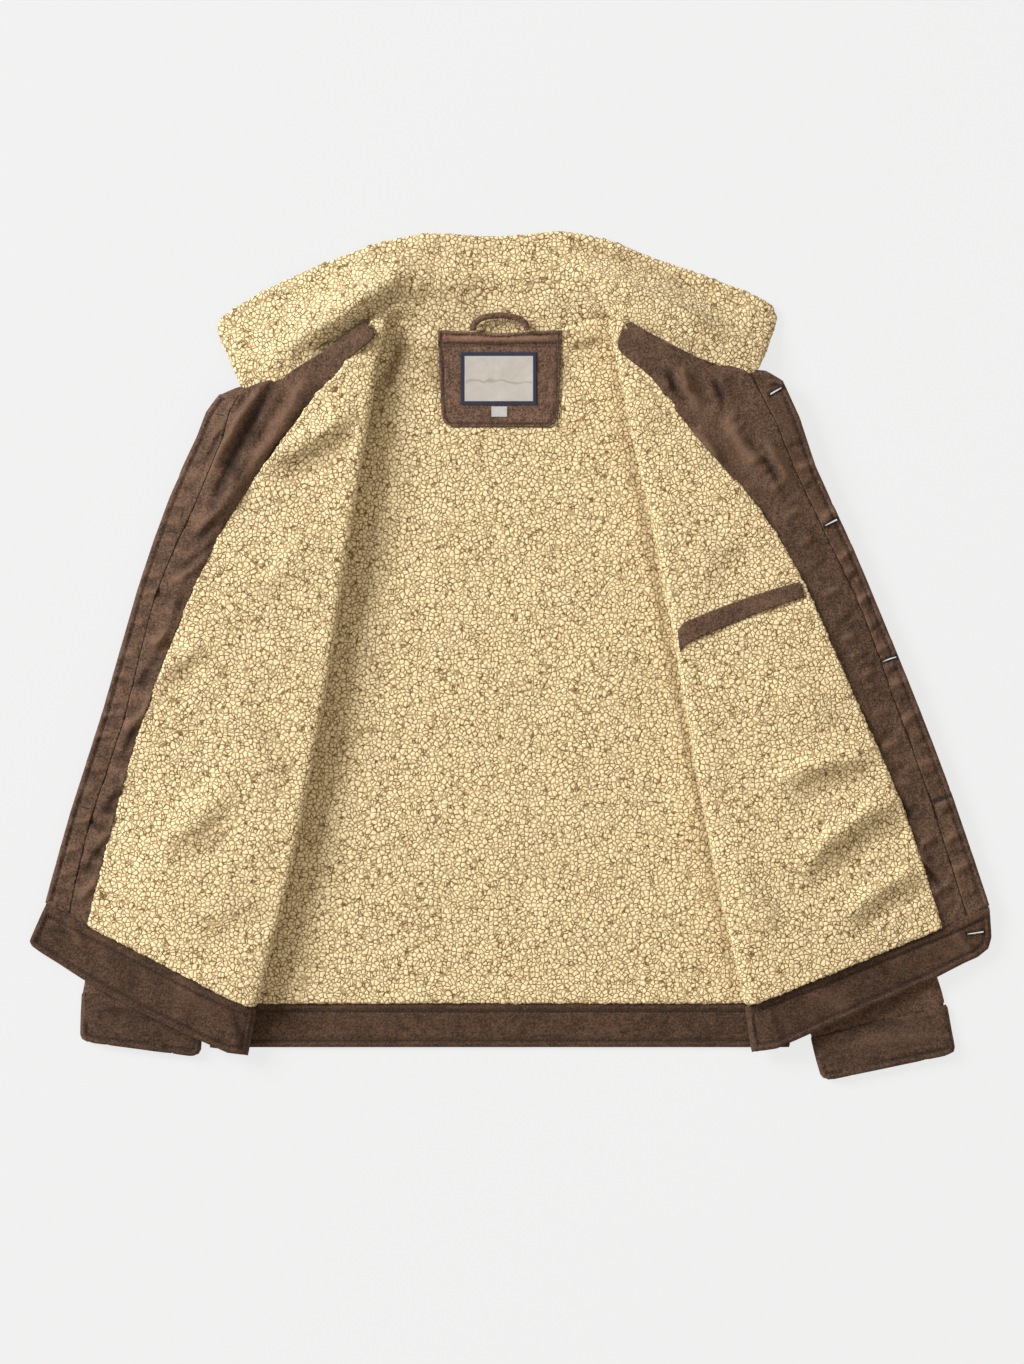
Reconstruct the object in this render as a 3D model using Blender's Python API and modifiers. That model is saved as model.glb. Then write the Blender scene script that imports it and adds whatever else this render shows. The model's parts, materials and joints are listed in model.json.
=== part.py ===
"""Sherpa lined trucker jacket laid out flat on its back with both fronts folded open.

Sizes are in millimetres up to the moment a mesh is made, and the scene is in metres.
The tables give the left and right halves with x measured outward from the jacket's own
centre line and y measured up from its hem. Z is up and the jacket rests on z = 0.
"""

import math

import bpy
from mathutils import Matrix, Vector

MM = 0.001

# Cloth
SUEDE = 1.2
PILE = 5.0
BAND = 3.0
LABEL = 0.5
GAP = 0.3

# Levels of the stacked layers
BACK_LINING_Z = SUEDE + GAP
BACK_TOP_Z = BACK_LINING_Z + PILE
FRONT_UNDER_Z = BACK_TOP_Z + GAP + PILE + GAP / 2
BODY_TOP_Z = FRONT_UNDER_Z + GAP / 2 + SUEDE

FACING_LIFT = 4 * GAP
FACING_REACH = 4.9

# Waistband and back
BAND_HEIGHT = 40.0
HALF_HEM = 275.0
SHOULDER_TIP_X = 244.0
SHOULDER_TIP_Y = 627.0
SHOULDER_STEPS = (0.35, 0.7, 1.0)

# Sleeves and cuffs
SLEEVE_THICK = 6.0
SLEEVE_WALL = 2.4
CUFF_THICK = 8.0
CUFF_WALL = 3.2
SLEEVE_REST_Z = BODY_TOP_Z + 1.5
SLEEVE_LEDGE = 22.0
SLEEVE_DROP = 30.0
TUBE_STEPS = (0.0, 0.03, 0.2, 0.4, 0.6, 0.8, 0.97, 1.0)

# Fastenings
BUTTON_RADIUS = 8.5
BUTTON_THICK = 2.4
BUTTON_RIM = 0.6
BUTTON_ACROSS = 4.45
BUTTONHOLE_ACROSS = 4.5
BAND_BUTTON_SHARE = 0.5
BUTTONHOLE_LENGTH = 16.0
BUTTONHOLE_WIDTH = 1.8
CUTTER_DEPTH = 9.0
BUTTON_ROWS = (5.45, 3.65, 2.4, 1.1)
BUTTONHOLE_ROWS = (5.82, 4.27, 2.45, 0.96)

# Side seam and armhole of the back, from the hem seam to the shoulder tip: x, y
BACK_SIDE = (
    (275.0, 42.0),
    (279.0, 128.0),
    (285.0, 230.0),
    (292.0, 349.0),
    (294.0, 415.0),
    (247.0, 510.0),
    (238.0, 567.0),
    (240.0, 605.0),
)
# Top edge of the back: x as a share of the shoulder tip's, y
BACK_TOP_EDGE = (
    (0.0, 679.0),
    (0.13, 680.0),
    (0.25, 683.0),
    (0.35, 691.5),
    (0.434, 694.0),
    (0.6, 675.0),
    (0.8, 651.0),
    (1.0, 627.0),
)

# Each row of a front runs from the side seam, under, round the fold and out again on top.
# side x, y | fold x, y | facing x, y | placket seam x, y | edge x, y |
# roll radius | height midway, at the facing, at the placket seam, at the edge
LEFT_FRONT = (
    (275, 42, 230, 38, 390, 116, 408, 126, 431, 137, 7, 22, 13, 11, 9),
    (279, 128, 206, 128, 368, 205, 388, 215, 407, 223, 7, 25, 15, 12, 9),
    (285, 230, 184, 230, 340, 302, 355, 310, 376, 319, 7, 25, 21, 16, 10),
    (292, 349, 161, 356, 297, 415, 326, 427, 343, 434, 7, 25, 25, 17, 10),
    (294, 415, 142, 477, 254, 504, 288, 514, 313, 520, 7, 25, 25, 20, 11),
    (247, 510, 126, 577, 203, 577, 261, 579, 286, 580, 7, 25, 25, 23, 14),
    (238, 567, 119, 619, 173, 618, 246, 618, 265, 619, 7, 25, 25, 23, 15),
    (240, 605, 116, 641, 153, 639, 186, 638, 204, 637, 6, 24, 24, 22, 20),
    (244, 627, 113, 660, 138, 660, 157, 660, 168, 659, 5, 22, 22, 21, 20),
    (200, 650, 110, 674, 127, 673, 139, 674, 147, 674, 4, 20, 20, 19.5, 19),
    (124, 688, 106, 690, 123, 686, 126, 687, 129, 688, 3, 18, 18, 18, 18),
)
RIGHT_FRONT = (
    (275, 42, 232, 41, 419, 114, 443, 124, 464, 135, 7, 22, 13, 11, 9),
    (279, 128, 205, 159, 382, 227, 407, 237, 427, 244, 7, 25, 15, 12, 9),
    (285, 230, 184, 271, 342, 317, 374, 327, 393, 332, 7, 25, 21, 15, 10),
    (292, 349, 167, 372, 304, 403, 344, 411, 359, 415, 7, 25, 25, 15, 10),
    (294, 415, 148, 474, 267, 477, 312, 478, 332, 479, 7, 25, 25, 17, 11),
    (247, 510, 131, 553, 212, 553, 277, 552, 298, 552, 7, 25, 25, 22, 14),
    (238, 570, 117, 614, 155, 622, 240, 632, 267, 633, 7, 25, 25, 23, 15),
    (240, 605, 112, 640, 138, 645, 185, 645, 215, 644, 6, 24, 24, 22.5, 20.5),
    (244, 627, 109, 657, 130, 659, 168, 656, 190, 652, 5, 22, 22, 21, 20),
    (200, 650, 106, 672, 124, 672, 147, 670, 158, 668, 4, 20, 20, 19.5, 19),
    (124, 686, 102, 688, 119, 685, 122, 686, 126, 687, 3, 18, 18, 18, 18),
)
PLACKET_TOP_ROW = 6
LAST_ROW = 10
FRONT_ROWS = tuple(step / 2 for step in range(13)) + (6.3, 6.65, 7.0, 8.0, 9.0, 10.0)

# Front waistband, from the side seam under, round the fold and out to its end:
# upper edge x, y, height | lower edge x, y, height
LEFT_BAND = (
    (275, 40.8, 9.5, 275, 0, 7),
    (250, 40, 9.5, 254, -2, 7),
    (238, 38.5, 10.5, 245, -5, 8),
    (232, 37, 15, 240, -7, 12),
    (236, 38, 20.5, 244, -6, 17),
    (250, 42.5, 22.5, 258, -4, 19),
    (290, 61.5, 22.5, 300, 15, 18),
    (330, 81.5, 20, 347, 38, 15.5),
    (372, 103.5, 16, 395, 65, 11.5),
    (403, 119.5, 12.6, 420, 81, 9.2),
    (418, 127.5, 11.4, 434, 89.5, 8.1),
    (428, 133, 10.7, 444, 96.5, 7.3),
    (431, 134.5, 10.5, 446, 101, 7),
)
RIGHT_BAND = (
    (275, 40.8, 9.5, 275, 2, 7),
    (252, 41.5, 9.5, 255, 0, 7),
    (240, 40.5, 10.5, 246, -2, 8),
    (233.5, 39.5, 15, 240, -4, 12),
    (237, 41, 20.5, 244, -3, 17),
    (252, 46, 22.5, 262, 0, 19),
    (300, 64.5, 22, 312, 22, 18),
    (350, 84.5, 19, 362, 44, 15),
    (396, 102.5, 15, 412, 66, 11),
    (434, 117.8, 12.1, 440, 80.3, 8.6),
    (449, 125, 11.4, 453, 86, 7.9),
    (460, 130.6, 10.7, 463, 94, 7.3),
    (464, 132.5, 10.5, 466, 105, 7),
)

# Collar, end to end: x and y of its base, x and y of its edge, height of base and of roll
COLLAR = (
    (-244, 629, -263, 674, 14, 10),
    (-242, 630, -267, 684, 14.3, 10.3),
    (-238, 631.5, -265, 692, 15, 11),
    (-230, 635, -256, 699, 16.3, 12.5),
    (-206, 645, -228, 716, 20, 16),
    (-168, 665, -190, 734, 20, 20),
    (-147, 680, -156, 748, 19, 21),
    (-127, 694, -122, 761, 18, 20),
    (-106, 699, -92, 769, 12, 16),
    (-86, 695, -66, 773, 5, 11),
    (-62, 686, -42, 772, 1.4, 7),
    (-30, 682, -18, 770, 1.4, 4),
    (0, 681, 2, 770, 1.4, 3),
    (30, 682, 28, 772, 1.4, 4),
    (62, 687, 57, 775, 1.4, 7),
    (84, 696, 84, 771, 5, 11),
    (104, 699, 112, 763, 12, 15),
    (124, 693, 138, 752, 18, 19),
    (158, 674, 172, 740, 19, 20),
    (190, 659, 208, 727, 20, 17),
    (216, 651, 236, 716, 18, 14),
    (235, 648, 253, 708, 16, 11.5),
    (241, 646.8, 260, 702, 15.4, 10.6),
    (243, 646.4, 262, 695, 15.1, 10.2),
    (244, 646, 259.5, 686, 15, 10),
)
COLLAR_STEPS = (0.0, 0.15, 0.3, 0.45, 0.6, 0.75, 0.9, 1.0)
COLLAR_FALL = 0.35

# Sleeve lying down over the body, shoulder to cuff seam:
# outer x, y | inner x, y | share of the body's height that it rides on
LEFT_SLEEVE = (
    (241, 606, 160, 578, 1.0),
    (268, 570, 158, 540, 1.0),
    (288, 500, 166, 470, 1.0),
    (310, 410, 178, 400, 1.0),
    (333, 315, 196, 310, 1.0),
    (355, 220, 218, 215, 1.0),
    (374, 142, 247, 138, 1.0),
    (383, 112, 284, 116, 1.0),
    (389, 86, 285, 92, 0.35),
    (393, 68, 284, 62, 0.0),
    (396, 51.5, 281, 43.5, 0.0),
)
RIGHT_SLEEVE = (
    (241, 606, 160, 578, 1.0),
    (270, 570, 160, 540, 1.0),
    (292, 500, 170, 470, 1.0),
    (318, 410, 182, 400, 1.0),
    (344, 315, 198, 305, 1.0),
    (368, 220, 218, 205, 1.0),
    (389, 150, 247, 138, 1.0),
    (397, 120, 284, 110, 1.0),
    (407, 92, 286, 82, 0.35),
    (416, 64, 289, 46, 0.0),
    (424, 39.5, 295, 9.5, 0.0),
)
# Cuff, seam to opening: outer x, y | inner x, y
LEFT_CUFF = (
    (397, 50.5, 281, 42.5),
    (398, 30, 282, 22),
    (398.5, 11.5, 283.5, -2),
    (396.5, 7.5, 286, -6.5),
    (392, 5, 291, -8.5),
)
RIGHT_CUFF = (
    (425, 38.5, 295, 8.5),
    (429, 16, 300, -12),
    (432, 0.5, 304, -25.5),
    (431, -4.5, 307, -29.5),
    (427, -7, 312, -31),
)

# Neck patch, back to front: half width, y of its side, extra y at the middle
NECK_PATCH = (
    (46.0, 588.5, 0.0),
    (53.0, 593.0, 0.0),
    (55.5, 601.0, 0.0),
    (56.5, 620.0, 0.0),
    (57.5, 645.0, 0.0),
    (58.5, 666.0, 0.0),
    (59.0, 680.5, -3.0),
)
LABEL_SIZE = (72.0, 50.0)
LABEL_CENTRE = (-1.0, 634.5)
SIZE_LABEL_SIZE = (15.0, 10.0)
SIZE_LABEL_CENTRE = (-0.5, 603.0)
LOOP_RADIUS = 3.2
LOOP_SPAN = 51.0
LOOP_RISE = 14.0
LOOP_ROUNDNESS = 0.7
LOOP_FOOT_Y = 680.0
LOOP_LIFT = 3.0
LOOP_POINTS = 15

# Welt of the inner pocket on the right front: row and share across at its two ends
WELT_HEIGHT_IN_ROWS = 0.13
WELT_STEPS = 6
WELT_ENDS = ((3.07, 1.8), (3.36, 2.97))

COLOURS = {
    "suede_shell": (0.19, 0.115, 0.075),
    "suede_facing": (0.17, 0.105, 0.07),
    "suede_band": (0.1, 0.062, 0.042),
    "suede_patch": (0.18, 0.11, 0.075),
    "sherpa": (0.66, 0.52, 0.31),
    "label_cloth": (0.7, 0.65, 0.6),
    "size_label_cloth": (0.62, 0.62, 0.58),
    "button_metal": (0.3, 0.2, 0.12),
}


def clear_scene():
    for old in list(bpy.data.objects):
        bpy.data.objects.remove(old, do_unlink=True)


def material(name):
    found = bpy.data.materials.get(name)
    if found:
        return found
    made = bpy.data.materials.new(name)
    made.use_nodes = True
    shader = made.node_tree.nodes["Principled BSDF"]
    shader.inputs["Base Color"].default_value = (*COLOURS[name], 1.0)
    metal = name == "button_metal"
    shader.inputs["Metallic"].default_value = 1.0 if metal else 0.0
    shader.inputs["Roughness"].default_value = 0.4 if metal else 0.95
    return made


def between(first, second, share):
    return tuple(a + (b - a) * share for a, b in zip(first, second))


def through(rows, place):
    """Values at this place along the rows, on a smooth curve through each of them."""
    last = len(rows) - 1
    index = min(max(int(math.floor(place)), 0), last - 1)
    part = place - index
    before = rows[max(index - 1, 0)]
    start = rows[index]
    end = rows[index + 1]
    after = rows[min(index + 2, last)]
    found = []
    for a, b, c, d in zip(before, start, end, after):
        slope_in = (c - a) / 2
        slope_out = (d - b) / 2
        cubic = 2 * b - 2 * c + slope_in + slope_out
        square = 3 * c - 3 * b - 2 * slope_in - slope_out
        found.append(((cubic * part + square) * part + slope_in) * part + b)
    return found


def new_object(name, points, faces, material_name, parts):
    mesh = bpy.data.meshes.new(name)
    mesh.from_pydata([Vector(point) * MM for point in points], [], faces)
    mesh.validate()
    made = bpy.data.objects.new(name, mesh)
    parts.objects.link(made)
    mesh.materials.append(material(material_name))
    return made


def add_thickness(made, thickness, offset=1.0):
    solidify = made.modifiers.new("Thickness", "SOLIDIFY")
    solidify.thickness = thickness * MM
    solidify.offset = offset
    solidify.use_quality_normals = True
    return solidify


def loft(name, grid, thickness, material_name, parts, flip=False, ring=False, offset=1.0):
    """A wall through the rows of the grid; its thickness stands on the side it faces."""
    width = len(grid[0])
    points = [point for row in grid for point in row]
    faces = []
    for row in range(len(grid) - 1):
        for column in range(width if ring else width - 1):
            following = (column + 1) % width
            face = (
                row * width + column,
                row * width + following,
                (row + 1) * width + following,
                (row + 1) * width + column,
            )
            faces.append(face[::-1] if flip else face)
    made = new_object(name, points, faces, material_name, parts)
    add_thickness(made, thickness, offset)
    return made


# Back


def back_grid(height):
    """Rows of the back, hem seam to shoulders, at one height."""
    shares = [-share for share, _ in reversed(BACK_TOP_EDGE)]
    shares += [share for share, _ in BACK_TOP_EDGE[1:]]
    top = [y for _, y in reversed(BACK_TOP_EDGE)] + [y for _, y in BACK_TOP_EDGE[1:]]
    grid = [[(share * x, y, height) for share in shares] for x, y in BACK_SIDE]
    last_x, last_y = BACK_SIDE[-1]
    for step in SHOULDER_STEPS:
        x = last_x + (SHOULDER_TIP_X - last_x) * step
        grid.append(
            [(share * x, last_y + (y - last_y) * step, height) for share, y in zip(shares, top)]
        )
    return grid


def make_back(parts):
    loft("back_shell", back_grid(0.0), SUEDE, "suede_shell", parts)
    loft("back_lining", back_grid(BACK_LINING_Z), PILE, "sherpa", parts)
    columns = [HALF_HEM * (step / 4 - 1) for step in range(9)]
    grid = [[(x, y, 0.0) for x in columns] for y in (0.0, BAND_HEIGHT / 2, BAND_HEIGHT + 1)]
    loft("back_waistband", grid, BAND, "suede_band", parts)


# Fronts


def front_section(table, row):
    """Named points of one row: side, centre of the roll, its direction, and the open part."""
    values = through(table, row)
    below = through(table, max(row - 0.1, 0.0))
    above = through(table, min(row + 0.1, LAST_ROW))
    along = Vector((above[2] - below[2], above[3] - below[3])).normalized()
    inward = Vector((-along.y, along.x))
    roll = values[10]
    centre = Vector(values[2:4]) - inward * (roll + PILE + GAP / 2)
    return {
        "side": Vector(values[0:2]),
        "centre": centre,
        "inward": inward,
        "roll": roll,
        "plan": (centre, Vector(values[4:6]), Vector(values[6:8]), Vector(values[8:10])),
        "heights": [(FRONT_UNDER_Z + 2 * roll,)] + [(value,) for value in values[11:15]],
    }


def front_point(side, table, row, across):
    """Across runs 0 side seam, 1 to 2 round the roll, 3 facing, 4 placket seam, 5 edge."""
    section = front_section(table, row)
    if across <= 1.0:
        plan = section["side"].lerp(section["centre"], across)
        height = FRONT_UNDER_Z
    elif across < 2.0:
        turn = math.pi * (across - 1.5)
        plan = section["centre"] + section["inward"] * section["roll"] * math.cos(turn)
        height = FRONT_UNDER_Z + section["roll"] * (1 + math.sin(turn))
    else:
        step = min(int(across) - 2, 2)
        plan = section["plan"][step].lerp(section["plan"][step + 1], across - 2 - step)
        place = (across - 2) * 2 if across < 3 else across - 1
        height = through(section["heights"], place)[0]
    return Vector((side * plan.x, plan.y, height))


def front_normal(side, table, row, across):
    """Direction in which the lined face of the front looks."""
    nudge = 0.02
    up = front_point(side, table, min(row + nudge, LAST_ROW), across)
    down = front_point(side, table, max(row - nudge, 0.0), across)
    out = front_point(side, table, row, min(across + nudge, 5.0))
    back = front_point(side, table, row, max(across - nudge, 0.0))
    normal = (up - down).cross(out - back).normalized()
    return normal * -side


def front_grid(side, table, rows, columns, lift):
    """Points of the front, moved out by lift; columns gives each row's places across."""
    grid = []
    for row in rows:
        line = []
        for across in columns(table, row):
            point = front_point(side, table, row, across)
            line.append(point + front_normal(side, table, row, across) * lift)
        grid.append(line)
    return grid


UNDER = (0.0, 0.5, 1.0)
ROLL = (1.25, 1.5, 1.75, 2.0)
OPEN = (2.25, 2.5, 2.75)


def seam_gap(table, row, seam):
    """Half the gap at the facing seam (1) or the placket seam (2), as a share across."""
    plan = front_section(table, row)["plan"]
    return GAP / (plan[seam] - plan[seam - 1]).length


def shell_columns(table, row):
    return UNDER + ROLL + OPEN + (3.0, 3.5, 4.0, 4.5, 5.0)


def lining_columns(table, row):
    return UNDER + ROLL + OPEN + (3.0 - seam_gap(table, row, 1),)


def facing_columns(table, row):
    """The facing ends at the placket, and past the placket's top it runs to the edge."""
    first = 3.0 + seam_gap(table, row, 1)
    last = 4.0 - seam_gap(table, row, 2)
    past_top = min(max(row - PLACKET_TOP_ROW, 0.0), 1.0)
    last += (FACING_REACH - last) * past_top
    return tuple(first + (last - first) * share for share in (0.0, 1 / 3, 2 / 3, 1.0))


def placket_columns(table, row):
    return (4.0 + seam_gap(table, row, 2), 4.5, 5.0)


def make_front(name, side, table, parts):
    flip = side < 0
    to_placket_top = [row for row in FRONT_ROWS if row <= PLACKET_TOP_ROW]
    shell = front_grid(side, table, FRONT_ROWS, shell_columns, -GAP / 2)
    lining = front_grid(side, table, FRONT_ROWS, lining_columns, GAP / 2)
    facing = front_grid(side, table, FRONT_ROWS, facing_columns, FACING_LIFT)
    placket = front_grid(side, table, to_placket_top, placket_columns, FACING_LIFT)
    loft(name + "_front_shell", shell, SUEDE, "suede_shell", parts, flip, offset=-1.0)
    loft(name + "_front_lining", lining, PILE, "sherpa", parts, flip)
    loft(name + "_facing", facing, SUEDE, "suede_facing", parts, flip)
    loft(name + "_placket", placket, SUEDE, "suede_facing", parts, flip)


def make_band(name, side, table, parts):
    grid = []
    for share in (0.0, 0.5, 1.0):
        line = []
        for upper_x, upper_y, upper_z, lower_x, lower_y, lower_z in table:
            upper = (side * upper_x, upper_y, upper_z)
            lower = (side * lower_x, lower_y, lower_z)
            line.append(between(lower, upper, share))
        grid.append(line)
    loft(name + "_waistband", grid, BAND, "suede_band", parts, side < 0, offset=0.0)


# Buttonholes and buttons


def placket_frame(side, table, row, across, lift):
    """Matrix with Z out of the lined face, Y along the placket, at this place on it."""
    normal = front_normal(side, table, row, across)
    point = front_point(side, table, row, across) + normal * lift
    along = front_point(side, table, row + 0.05, across) - point
    along = (along - normal * along.dot(normal)).normalized()
    sideways = along.cross(normal)
    turned = Matrix((sideways, along, normal)).transposed().to_4x4()
    return Matrix.Translation(point * MM) @ turned


def cut(target, cutter_object):
    boolean = target.modifiers.new("Buttonhole", "BOOLEAN")
    boolean.operation = "DIFFERENCE"
    boolean.object = cutter_object


def band_frame(side, table, drop):
    """Matrix where the waistband's end is fastened, Z out of its upper face, Y up it."""
    inner_row = table[-4]
    upper_x, upper_y, upper_z, lower_x, lower_y, lower_z = between(
        inner_row, table[-1], BAND_BUTTON_SHARE
    )
    upper = Vector((side * upper_x, upper_y, upper_z))
    lower = Vector((side * lower_x, lower_y, lower_z))
    inner = Vector((side * inner_row[0], *inner_row[1:3]))
    along = (upper - lower).normalized()
    sideways = (upper - inner) * side
    normal = sideways.cross(along).normalized()
    sideways = along.cross(normal)
    turned = Matrix((sideways, along, normal)).transposed().to_4x4()
    return Matrix.Translation(((upper + lower) / 2 + normal * drop) * MM) @ turned


def move_to(collection, made):
    for holder in list(made.users_collection):
        holder.objects.unlink(made)
    collection.objects.link(made)


def make_buttonholes(side, table, band, cutters):
    """Slots through the placket and the shell under it, and one through the waistband."""
    frames = [placket_frame(side, table, row, BUTTONHOLE_ACROSS, 0.0) for row in BUTTONHOLE_ROWS]
    frames.append(band_frame(side, band, 0.0))
    for number, frame in enumerate(frames):
        bpy.ops.mesh.primitive_cube_add(size=1.0)
        slot = bpy.context.object
        slot.name = f"buttonhole_cutter_{number + 1}"
        move_to(cutters, slot)
        slot.hide_render = True
        slot.display_type = "WIRE"
        size = (BUTTONHOLE_LENGTH * MM, BUTTONHOLE_WIDTH * MM, CUTTER_DEPTH * MM, 1.0)
        slot.matrix_world = frame @ Matrix.Diagonal(size)
        if frame is frames[-1]:
            cut(bpy.data.objects["right_waistband"], slot)
        else:
            cut(bpy.data.objects["right_placket"], slot)
            cut(bpy.data.objects["right_front_shell"], slot)


def make_buttons(side, table, band, parts):
    """Shank buttons on the outer faces of the left placket and band, which lie face down."""
    depth = -(GAP / 2 + SUEDE + 4 * GAP + BUTTON_THICK / 2)
    frames = [placket_frame(side, table, row, BUTTON_ACROSS, depth) for row in BUTTON_ROWS]
    frames.append(band_frame(side, band, -(BAND + BUTTON_THICK) / 2 - GAP))
    for number, frame in enumerate(frames):
        bpy.ops.mesh.primitive_cylinder_add(
            vertices=16, radius=BUTTON_RADIUS * MM, depth=BUTTON_THICK * MM
        )
        button = bpy.context.object
        button.name = f"button_{number + 1}"
        move_to(parts, button)
        button.data.materials.append(material("button_metal"))
        button.matrix_world = frame
        bevel = button.modifiers.new("Rounded rim", "BEVEL")
        bevel.width = BUTTON_RIM * MM
        bevel.segments = 1


# Collar


def collar_grid(lift):
    grid = []
    for place in range(len(COLLAR)):
        base_x, base_y, edge_x, edge_y, base_z, roll_z = COLLAR[place]
        floor_z = SUEDE + GAP / 2
        profile = [(base_z,), (roll_z,), (floor_z + (roll_z - floor_z) * COLLAR_FALL,), (floor_z,)]
        line = []
        for share in COLLAR_STEPS:
            x, y = between((base_x, base_y), (edge_x, edge_y), share)
            height = max(through(profile, share * 3)[0], floor_z)
            line.append((x, y, height + lift))
        grid.append(line)
    return grid


def make_collar(parts):
    loft("collar_shell", collar_grid(-GAP / 2), SUEDE, "suede_shell", parts, True, offset=-1.0)
    loft("collar_lining", collar_grid(GAP / 2), PILE, "sherpa", parts, True)


# Sleeves and cuffs


def side_at(y):
    """Distance of the body's side from the centre line at this height up the jacket."""
    rows = ((HALF_HEM, 0.0),) + BACK_SIDE + ((SHOULDER_TIP_X, SHOULDER_TIP_Y),)
    for (low_x, low_y), (high_x, high_y) in zip(rows, rows[1:]):
        if y <= high_y:
            share = max(y - low_y, 0.0) / (high_y - low_y)
            return low_x + (high_x - low_x) * share
    return SHOULDER_TIP_X


def rest_height(x, y, ride):
    """Height at which a sleeve lies: on the body, then down past its side to the floor."""
    beyond = (x - side_at(y) - SLEEVE_LEDGE) / SLEEVE_DROP
    beyond = min(max(beyond, 0.0), 1.0)
    return ride * SLEEVE_REST_Z * (1 - beyond * beyond * (3 - 2 * beyond))


def tube_ring(side, outer, inner, thick, ride):
    """Points of a flattened tube's section, bottom first, then back over the top."""
    middle = []
    for share in TUBE_STEPS:
        x, y = between(outer, inner, share)
        middle.append((side * x, y, rest_height(x, y, ride)))
    bottom = middle[1:-1]
    first = middle[0]
    last = middle[-1]
    top = [(x, y, z + thick) for x, y, z in reversed(bottom)]
    outer_side = (first[0], first[1], first[2] + thick / 2)
    inner_side = (last[0], last[1], last[2] + thick / 2)
    return bottom + [inner_side] + top + [outer_side]


def make_sleeve(name, side, sleeve, cuff, parts):
    flip = side > 0
    rings = []
    for outer_x, outer_y, inner_x, inner_y, ride in sleeve:
        outer = (outer_x, outer_y)
        rings.append(tube_ring(side, outer, (inner_x, inner_y), SLEEVE_THICK, ride))
    loft(
        name + "_sleeve", rings, SLEEVE_WALL, "suede_shell", parts, flip, ring=True, offset=-1.0
    )
    rings = []
    for outer_x, outer_y, inner_x, inner_y in cuff:
        outer = (outer_x, outer_y)
        rings.append(tube_ring(side, outer, (inner_x, inner_y), CUFF_THICK, 0.0))
    loft(name + "_cuff", rings, CUFF_WALL, "suede_band", parts, flip, ring=True, offset=-1.0)


# Neck patch, labels, loop and pocket welt


def make_neck_pieces(parts):
    height = BACK_TOP_Z + GAP
    grid = []
    for half_width, y, middle_y in NECK_PATCH:
        line = []
        for share in (-1.0, -0.5, 0.0, 0.5, 1.0):
            bend = middle_y * (1 - abs(share))
            line.append((half_width * share, y + bend, height))
        grid.append(line)
    loft("neck_patch", grid, SUEDE, "suede_patch", parts)
    height += SUEDE + GAP
    make_label("main_label", LABEL_CENTRE, LABEL_SIZE, height, "label_cloth", parts)
    make_label(
        "size_label", SIZE_LABEL_CENTRE, SIZE_LABEL_SIZE, height, "size_label_cloth", parts
    )


def make_label(name, centre, size, height, material_name, parts):
    columns = [centre[0] + size[0] * share for share in (-0.5, 0.0, 0.5)]
    rows = [centre[1] + size[1] * share for share in (-0.5, 0.0, 0.5)]
    loft(name, [[(x, y, height) for x in columns] for y in rows], LABEL, material_name, parts)


def make_hang_loop(parts):
    """A rolled suede tube in a low arch over the seam of the collar."""
    curve = bpy.data.curves.new("hang_loop", "CURVE")
    curve.dimensions = "3D"
    curve.bevel_depth = LOOP_RADIUS * MM
    curve.bevel_resolution = 2
    curve.use_fill_caps = True
    spline = curve.splines.new("POLY")
    spline.points.add(LOOP_POINTS - 1)
    low = BACK_TOP_Z + SUEDE + 3 * GAP + LOOP_RADIUS
    for index in range(LOOP_POINTS):
        turn = math.pi * index / (LOOP_POINTS - 1)
        x = -LOOP_SPAN / 2 * math.cos(turn)
        y = LOOP_FOOT_Y + LOOP_RISE * math.sin(turn) ** LOOP_ROUNDNESS
        z = low + LOOP_LIFT * math.sin(turn)
        spline.points[index].co = (x * MM, y * MM, z * MM, 1.0)
    made = bpy.data.objects.new("hang_loop", curve)
    parts.objects.link(made)
    curve.materials.append(material("suede_patch"))


def make_pocket_welt(side, table, parts):
    lift = GAP / 2 + PILE + 2 * GAP
    (start_row, start_across), (end_row, end_across) = WELT_ENDS
    grid = []
    for drop in (0.0, 1.0):
        line = []
        for step in range(WELT_STEPS + 1):
            share = step / WELT_STEPS
            row = start_row + (end_row - start_row) * share + drop * WELT_HEIGHT_IN_ROWS
            across = start_across + (end_across - start_across) * share
            point = front_point(side, table, row, across)
            line.append(point + front_normal(side, table, row, across) * lift)
        grid.append(line)
    loft("pocket_welt", grid, SUEDE, "suede_facing", parts)


def centre_on_origin(parts):
    """Moves every piece so that the middle of the jacket's box stands on the origin."""
    graph = bpy.context.evaluated_depsgraph_get()
    places = []
    for piece in parts.objects:
        evaluated = piece.evaluated_get(graph)
        mesh = evaluated.to_mesh()
        places += [piece.matrix_world @ vertex.co for vertex in mesh.vertices]
        evaluated.to_mesh_clear()
    middle_x = (min(place.x for place in places) + max(place.x for place in places)) / 2
    middle_y = (min(place.y for place in places) + max(place.y for place in places)) / 2
    move = Matrix.Translation((-middle_x, -middle_y, 0.0))
    for piece in bpy.data.objects:
        piece.matrix_world = move @ piece.matrix_world


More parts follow.
